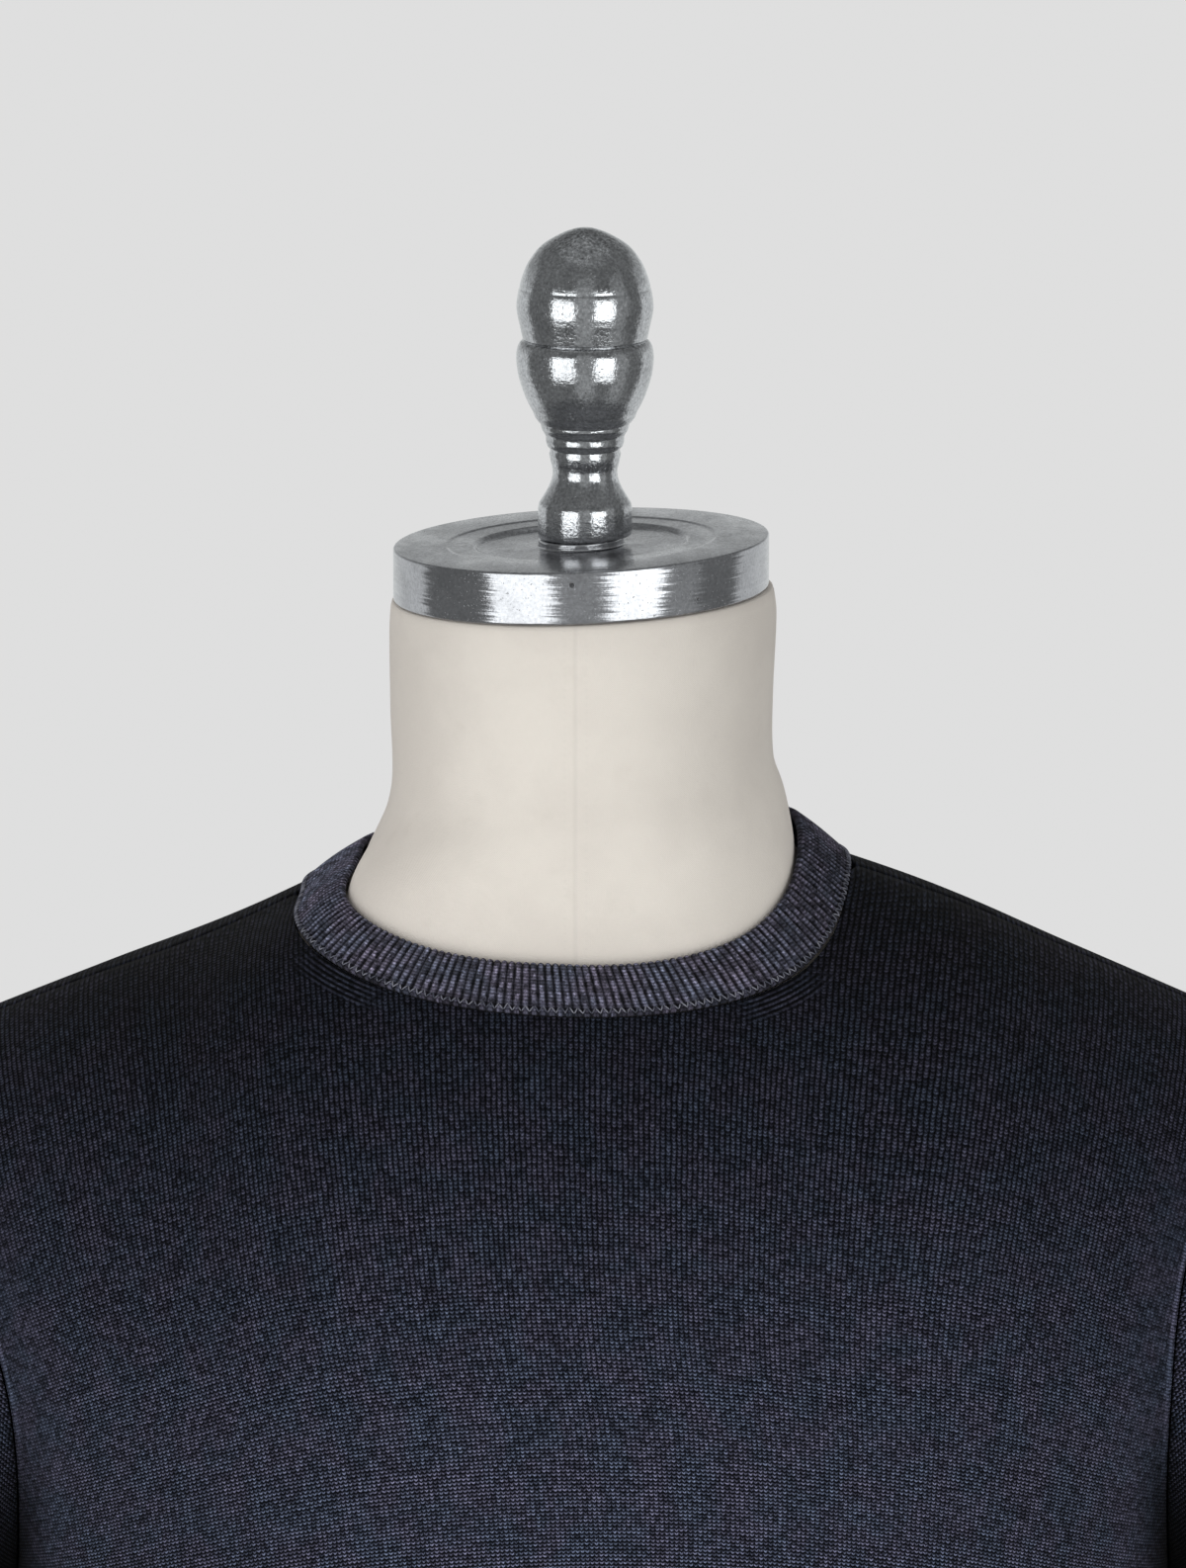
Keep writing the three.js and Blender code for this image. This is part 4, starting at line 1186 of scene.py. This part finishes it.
def plain_knit(name, fashioned=False):
    net = Paint(name, (0.03, 0.034, 0.048), Roughness=0.95, Specular_IOR_Level=0.08,
                Sheen_Weight=0.02, Sheen_Roughness=0.45)
    u, v, _ = net.split(net.add("UVMap", uv_map="stitches"))
    x, _, z = net.split(net.place())

    def mark(key):
        return net.add("Attribute", attribute_name=key, output="Fac")

    # The stitches, a little out of line.
    lower = z.falls(*CHEST_Z)
    wander = net.noise((u * 0.31, v * 0.23)) - 0.5
    jitter = net.noise((u * 1.3, v * 1.1, 7.0), 1.0, 1.0) - 0.5
    u2 = u + wander * 0.5 + jitter * 0.22
    v2 = v + wander * 0.3 + jitter * 0.14
    height = stitch_height(u2, v2, deep=lower * 0.38 + 0.57, filled=lower * 0.38)
    colour, streak = heather(net, u, v, *KNIT_TONES)
    contrast = lower * 0.5 + 1.7
    brightness = lower * 1.45 + 1.9
    if fashioned:
        gap = mark("seam_distance")
        lines = wave(gap / 1.75 + jitter * 0.2) + 0.5
        mask = mark("fashioned") * gap.falls(8.0, 10.5)
        height = height * (1.0 - mask) + lines * mask * 0.95
    stitch = net.speck((u2 + 0.5).floor(), v2.floor())
    flecks = net.speck((u2 * 2.0).floor(), (v2 * 1.5).floor(), 3.0)
    fleck = flecks.between(0.93, 0.99) * 0.9
    # Beside the armholes they are plainer, with a line of light stitches along the seam.
    edge = mark("edge_distance")
    # The stitches' height sets their colour: painted shade in the gaps between them.
    crisp = (height ** contrast) * brightness + 0.04
    plainer = edge.between(4.0, 26.0, 0.5, 0.0)
    crisp = crisp * (1.0 - plainer) + plainer * 0.62
    # Painted shade: the last factor darkens the knit higher up, towards the shoulders.
    level = (crisp * (stitch * 1.12 + 0.4) + fleck * height) * (lower * 0.54 + 0.46)
    beads = (wave(v) + 0.6) * z.between(*BEADS_FROM_Z) * z.falls(*BEADS_TO_Z)
    level = level + edge.between(0.3, 0.9) * edge.falls(1.5, 2.1) * beads * 1.6
    # Painted shade: darker to both sides, towards the shoulders, and most on the left-hand one.
    side_shade = x.between(*DARK_LEFT_X, 0.78, 1.0) * x.falls(*DARK_RIGHT_X, 0.9)
    side_shade = side_shade * z.falls(*DARK_Z, 0.5)
    side_shade = side_shade * (1.0 - x.between(*LEFT_SHOULDER_X, 0.26, 0.0) * z.between(*LEFT_SHOULDER_Z))
    # Painted shade in the crease between sleeve and body: darker knit, and less shine.
    open_to_light = (1.0 - mark("crease_shade")) ** 2.0
    net.shade(colour, level * side_shade * open_to_light)
    net.drive("Specular IOR Level", open_to_light * 0.08)
    net.bump(height + streak * 0.25, 0.00045)
    return net.material


def rib_knit(name):
    net = Paint(name, (0.045, 0.047, 0.062), Roughness=0.9, Specular_IOR_Level=0.18,
                Sheen_Weight=0.05, Sheen_Roughness=0.45)
    u, v, _ = net.split(net.add("UVMap", uv_map="stitches"))
    jitter = net.noise((u * 1.7, v * 0.9, 2.0)) - 0.5
    v2 = v + jitter * 0.5
    height = stitch_height(u + jitter * 0.12, v2, 0.9, 1.0, 0.7)
    colour, streak = heather(net, u * 1.4, v, *RIB_TONES)
    stitch = net.speck((u * 2.0 + 0.5).floor(), (v2 * 0.6).floor())
    flecks = net.speck((u * 3.0).floor(), (v2 * 1.1).floor(), 3.0)
    # Painted shade in the purl furrows and in the gaps between stitches.
    furrow = triangle(u).between(0.1, 0.4, 0.78, 0.28)
    level = (height * 1.4 + 0.2) * (stitch * 1.3 + 0.35) * furrow
    level = level + flecks.between(0.86, 0.99) * height * furrow * 2.0
    # Painted shade beside the band's seam.
    level = level * abs(v).between(1.6, 2.6, 0.4, 1.0)       # dark beside the seam
    x, _, _ = net.split(net.place())
    # Painted shade: the bands are darker on the right.
    net.shade(colour, level * x.falls(0.045, 0.085, 0.56))     # darker on the right
    net.bump(height + streak * 0.3, 0.0004, 0.9)
    return net.material


def linking_yarn(name):
    net = Paint(name, (0.14, 0.14, 0.17), Roughness=0.85, Specular_IOR_Level=0.2)
    at = net.place()
    fibre = net.noise(at, 2400.0, 2.0, 0.7)
    patch = net.noise(at, 260.0)
    tone = net.blend(patch.between(0.35, 0.65), (0.07, 0.075, 0.1), (0.24, 0.245, 0.29))
    net.shade(tone, fibre * 0.9 + 0.5)
    net.bump(fibre, 0.0001)
    return net.material


# The canvas, in metres.
WEAVE_REPEAT = 0.00062        # two threads, both ways
CANVAS_RADIUS = 0.064         # of the neck, for turning angles into lengths
NECK_SEAM_LEFT = 0.0017       # how far the seam up the neck lies to the left
TOPSTITCH = 0.0024            # length of a stitch beside the neck's seam


def canvas(name):
    net = Paint(name, (0.73, 0.68, 0.62), Roughness=0.88, Specular_IOR_Level=0.2,
                Sheen_Weight=0.08, Sheen_Roughness=0.5)
    at = net.place()
    x, y, z = net.split(at)
    around = y.apply("ARCTAN2", x) * CANVAS_RADIUS
    warp = (around / WEAVE_REPEAT * TURN).apply("SINE")
    weft = (z / WEAVE_REPEAT * TURN).apply("SINE")
    slub = net.noise((around * 700.0, z * 2600.0)) - 0.5
    slub2 = net.noise((around * 2600.0, z * 500.0, 9.0)) - 0.5
    weave = warp * weft * 0.5 + slub + slub2
    mottle = net.noise(at, 22.0, 4.0, 0.6)
    soil = net.noise(at, 70.0, 3.0, 0.65)
    tone = net.blend(mottle.between(0.35, 0.65), (0.78, 0.735, 0.67), (0.73, 0.685, 0.625))
    tone = net.blend(soil.between(0.6, 0.76) * 0.1, tone, (0.5, 0.45, 0.39))
    seam = abs(x + NECK_SEAM_LEFT).falls(0.0002, 0.0011)
    stitched = abs((z / TOPSTITCH).apply("FRACT") - 0.5).falls(0.12, 0.2)
    beside = abs(abs(x + NECK_SEAM_LEFT) - 0.0035).falls(0.0002, 0.0006)
    marks = seam * 0.05 + stitched * beside * 0.03
    net.shade(tone, 1.0 - marks + weave * 0.05)
    net.bump(weave * 0.25 - seam * 0.35 + mottle * 0.6, 0.00022)
    return net.material


def cap_pin(net, at, azimuth, height, radius):
    """A shallow round mark in the cap's band."""
    turn = math.radians(azimuth)
    x = CAP_RADIUS * math.sin(turn)
    centre = (x * MM, -CAP_RADIUS * math.cos(turn) * MM, (cap_height(x) + height) * MM)
    away = net.add("VectorMath", at, centre, operation="DISTANCE", output="Value")
    return away.falls(0.6 * radius * MM, radius * MM)


CAP_PINS = table("azimuth height radius", (-2.7, 13, 0.9), (37.7, 4.6, 0.5))


def brushed(name, tone, rough, along, fine, speck=0.05, scratched=0.5, rugged=0.02, ragged=0.3,
            uneven=0.7, pinned=False):
    """Metal brushed round the upright axis. Its scratches are long where along is small, close
    where fine is large, and as deep as scratched says. speck is how dark its pits are, rugged its
    grain's depth in millimetres, ragged how far mirrored edges stray, and uneven its mottling."""
    net = Paint(name, tone, Metallic=1.0, Roughness=rough)
    at = net.place()
    x, y, z = net.split(at)
    around = y.apply("ARCTAN2", x)
    radius = (x * x + y * y).root()
    lines = net.noise((around * along, (radius + z * 0.999) * fine), 1.0, 3.0, 0.7)
    broad = net.noise((around * along * 0.7, (radius + z * 0.97) * fine * 0.3))
    grain = net.noise(at, 1000.0, 2.0, 0.6)
    dull = net.noise(at, 75.0, 3.0, 0.6)
    pits = net.noise(at, 1400.0, 1.0).between(0.69, 0.76)
    tint = net.blend(dull.between(0.35, 0.7), tone, tuple(c * 0.84 for c in tone))
    _, _, upward = net.split(net.add("NewGeometry", output="Normal"))
    rough_here = (lines - 0.5) * 0.16 + (dull - 0.5) * 0.12 + (pits * 0.2 + rough)
    rough_here = rough_here + upward.between(0.6, 0.95) * 0.05 + upward.falls(-0.5, -0.28) * 0.2
    net.drive("Roughness", rough_here)
    relief = lines * scratched + broad * scratched - pits * 0.8
    if pinned:
        for pin in zip(*CAP_PINS.values()):
            mark = cap_pin(net, at, *pin)
            relief = relief - mark * 8.0
            pits = pits + mark * 2.0
    pitted = 1.0 - pits * speck * 6.0
    mottled = (grain - 0.5) * (upward.between(0.6, 0.95) * 1.6 + 1.0) * uneven
    net.shade(tint, pitted + mottled)
    sway = (net.noise((around * 1.5, z * 1150.0), 1.0, 3.0, 0.7) - 0.5) * ragged
    turned = net.join(y * sway * -1.0 / radius, x * sway / radius)
    normal = net.add("NewGeometry", output="Normal")
    normal = net.add("VectorMath", normal, turned, operation="ADD")
    normal = net.add("VectorMath", normal, operation="NORMALIZE")
    normal = net.add("Bump", output="Normal", named={"Height": grain, "Distance": rugged * MM,
                                                     "Normal": normal})
    net.bump(relief, 0.00004, normal=normal)
    return net.material


def floor_paint():
    """A grey floor that fades out round the base."""
    net = Paint("studio_floor", (0.72, 0.72, 0.72), Roughness=0.8, Specular_IOR_Level=0.1)
    at = net.place()
    x, y, _ = net.split(at)
    away = (x * x + y * y).root()
    clear = net.add("BsdfTransparent")
    net.drive("Base Color", net.grey(net.noise(at, 3.0) * 0.02 + 0.7))
    mixed = net.add("MixShader", away.between(0.24, 0.6), Wire(net, net.shader.outputs[0]), clear)
    net.feed(net.tree.nodes["Material Output"].inputs["Surface"], mixed)
    return net.material


# ---- pieces
knit_front = plain_knit("knit_with_fashioned_neck", True)
knit_plain = plain_knit("knit")
knit_rib = rib_knit("knit_rib")
canvas_cloth = canvas("canvas")
satin = brushed("brushed_metal", (0.5, 0.51, 0.53), 0.13, 5.0, 2400.0)
polished = brushed("turned_metal", (0.54, 0.547, 0.565), 0.08, 2.0, 1500.0, speck=0.09,
                   scratched=0.7, rugged=0.075, ragged=0.14, uneven=1.5)


def finish_piece(thing, paint, node):
    thing.data.materials.append(paint)
    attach(thing, "root")
    if node:
        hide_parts(node)


front = panel("front", FRONT_FOLDS)
back = panel("back", BACK_FOLDS)
finish_piece(front, knit_front, "sweater_front")
finish_piece(back, knit_front, "sweater_back")
collar_band, chain = collar()
finish_piece(collar_band, knit_rib, "collar_rib")
finish_piece(chain, linking_yarn("linking_yarn"), None)
hem_band = hem()
finish_piece(hem_band, knit_rib, "hem_rib")
for hand in ("left", "right"):
    arm = sleeve(hand)
    finish_piece(arm, knit_plain, f"sleeve_{hand}")
    band = cuff(hand)
    finish_piece(band, knit_rib, f"cuff_{hand}")
body = form()
finish_piece(body, canvas_cloth, "form_body")
finish_piece(cap(), brushed("cap_metal", (0.49, 0.492, 0.515), 0.13, 5.0, 2400.0, pinned=True),
             "neck_cap")
finish_piece(knob(), polished, "neck_knob")
column, base = stand()
finish_piece(column, satin, "stand_column")
finish_piece(base, satin, "stand_base")

# ---- studio
angle = np.arange(96) * 2 * np.pi / 96
rings = np.array([0.05, 200, 500, 900, 1400])
disc = np.stack([
    np.cos(angle)[:, None] * rings, np.sin(angle)[:, None] * rings,
    np.full((96, len(rings)), -0.3),
], -1)
floor = grid_object("studio_floor", disc, rows_close=False)
floor.data.materials.append(floor_paint())


def softbox(name, azimuth, spread, low, high, distance, power):
    """An upright soft light that faces the form. Azimuth goes to the right from straight in front,
    and spread is how wide the light looks from the form, both in degrees. Low and high are the
    heights of its edges."""
    turn = math.radians(azimuth)
    light = bpy.data.lights.new(name, "AREA")
    light.shape = "RECTANGLE"
    light.size = 2 * distance * math.tan(math.radians(spread) / 2)
    light.size_y = high - low
    light.energy = power
    lamp = bpy.data.objects.new(name, light)
    lamp.location = (distance * math.sin(turn), -distance * math.cos(turn), (low + high) / 2)
    lamp.rotation_euler = (math.pi / 2, 0, turn)
    lamp.visible_camera = False
    lamp.visible_glossy = False      # what metal mirrors is in the world
    bpy.context.scene.collection.objects.link(lamp)


# Brightness of the world: the grey seen behind the form, and what metal mirrors of a dim room.
BACKDROP, DIM = 0.737, 0.2
LEFT_WINDOW, RIGHT_WINDOW = 1.9, 2.3


def studio_world():
    """The world shows the camera an even grey, metal a dim room with two bright windows in front,
    and cloth a soft light from all round."""
    world = bpy.data.worlds.new("studio")
    bpy.context.scene.world = world
    world.use_nodes = True
    sky = Net(world.node_tree)
    x, y, z = sky.split(sky.add("TexCoord", output="Generated"))
    level = (x * x + y * y).root()
    azimuth = x.apply("ARCTAN2", y * -1.0)      # radians to the right from straight in front
    behind = (y / level).between(0.3, 0.42)
    low_enough = z.falls(0.0, 0.2, 0.44) * z.falls(0.25, 0.5)
    wall = behind * low_enough
    centre_gap = abs(azimuth).falls(0.26, 0.36)
    right_fill = azimuth.between(0.8, 0.9) * azimuth.falls(1.3, 1.42)
    below_top = z.falls(0.3, 0.7)
    shiny = (centre_gap * 0.2 + right_fill * 0.17) * below_top + wall * (BACKDROP - DIM) + DIM
    from_left = azimuth.between(-1.03, -0.97) * azimuth.falls(-0.34, -0.28)
    from_right = azimuth.between(0.27, 0.33) * azimuth.falls(0.86, 0.92)
    window = z.between(-0.46, -0.4) * z.falls(0.2, 0.27)
    shiny = shiny + (from_left * LEFT_WINDOW + from_right * RIGHT_WINDOW) * window
    ceiling = sky.noise(sky.add("TexCoord", output="Generated"), 14.0).between(0.52, 0.6)
    shiny = shiny + ceiling * z.between(0.8, 0.88) * 0.35
    sideways = x / level
    soft = sideways * sideways * 0.22 + behind * 0.26 + 0.22
    soft = soft * z.between(-0.3, 0.2, 0.1, 1.0) * (1.0 - sideways * 0.18)
    seen = sky.add("LightPath", output="Is Camera Ray")
    matte = sky.add("LightPath", output="Is Diffuse Ray")
    glow = shiny * (1.0 - matte) + soft * matte
    lit = sky.add("CombineColor", glow * (matte * 0.05 + 0.97), glow, glow)     # warmer on cloth
    tone = sky.blend(seen, lit, (BACKDROP, BACKDROP, BACKDROP))
    sky.feed(sky.tree.nodes["Background"].inputs["Color"], tone)


softbox("left_softbox", -38, 40, 0.02, 1.17, 0.75, 4.4)
softbox("right_softbox", 33.5, 33, 0.02, 1.17, 0.75, 3.6)
softbox("back_softbox", 180, 60, 0.04, 0.78, 1.3, 4.0)
studio_world()

# ---- camera
CAMERA_PITCH = math.radians(11.4)      # looking down
CAMERA_DISTANCE = 3.0
CAMERA_AIM = Vector((0.0039, 0, 0.91793))
camera_data = bpy.data.cameras.new("camera")
camera_data.lens = 209.5
camera_data.sensor_width = 36
camera = bpy.data.objects.new("camera", camera_data)
bpy.context.scene.collection.objects.link(camera)
ahead = Vector((0, math.cos(CAMERA_PITCH), -math.sin(CAMERA_PITCH)))
camera.location = CAMERA_AIM - CAMERA_DISTANCE * ahead
camera.rotation_euler = (math.pi / 2 - CAMERA_PITCH, 0, 0)
bpy.context.scene.camera = camera
bpy.context.scene.view_settings.view_transform = "Standard"
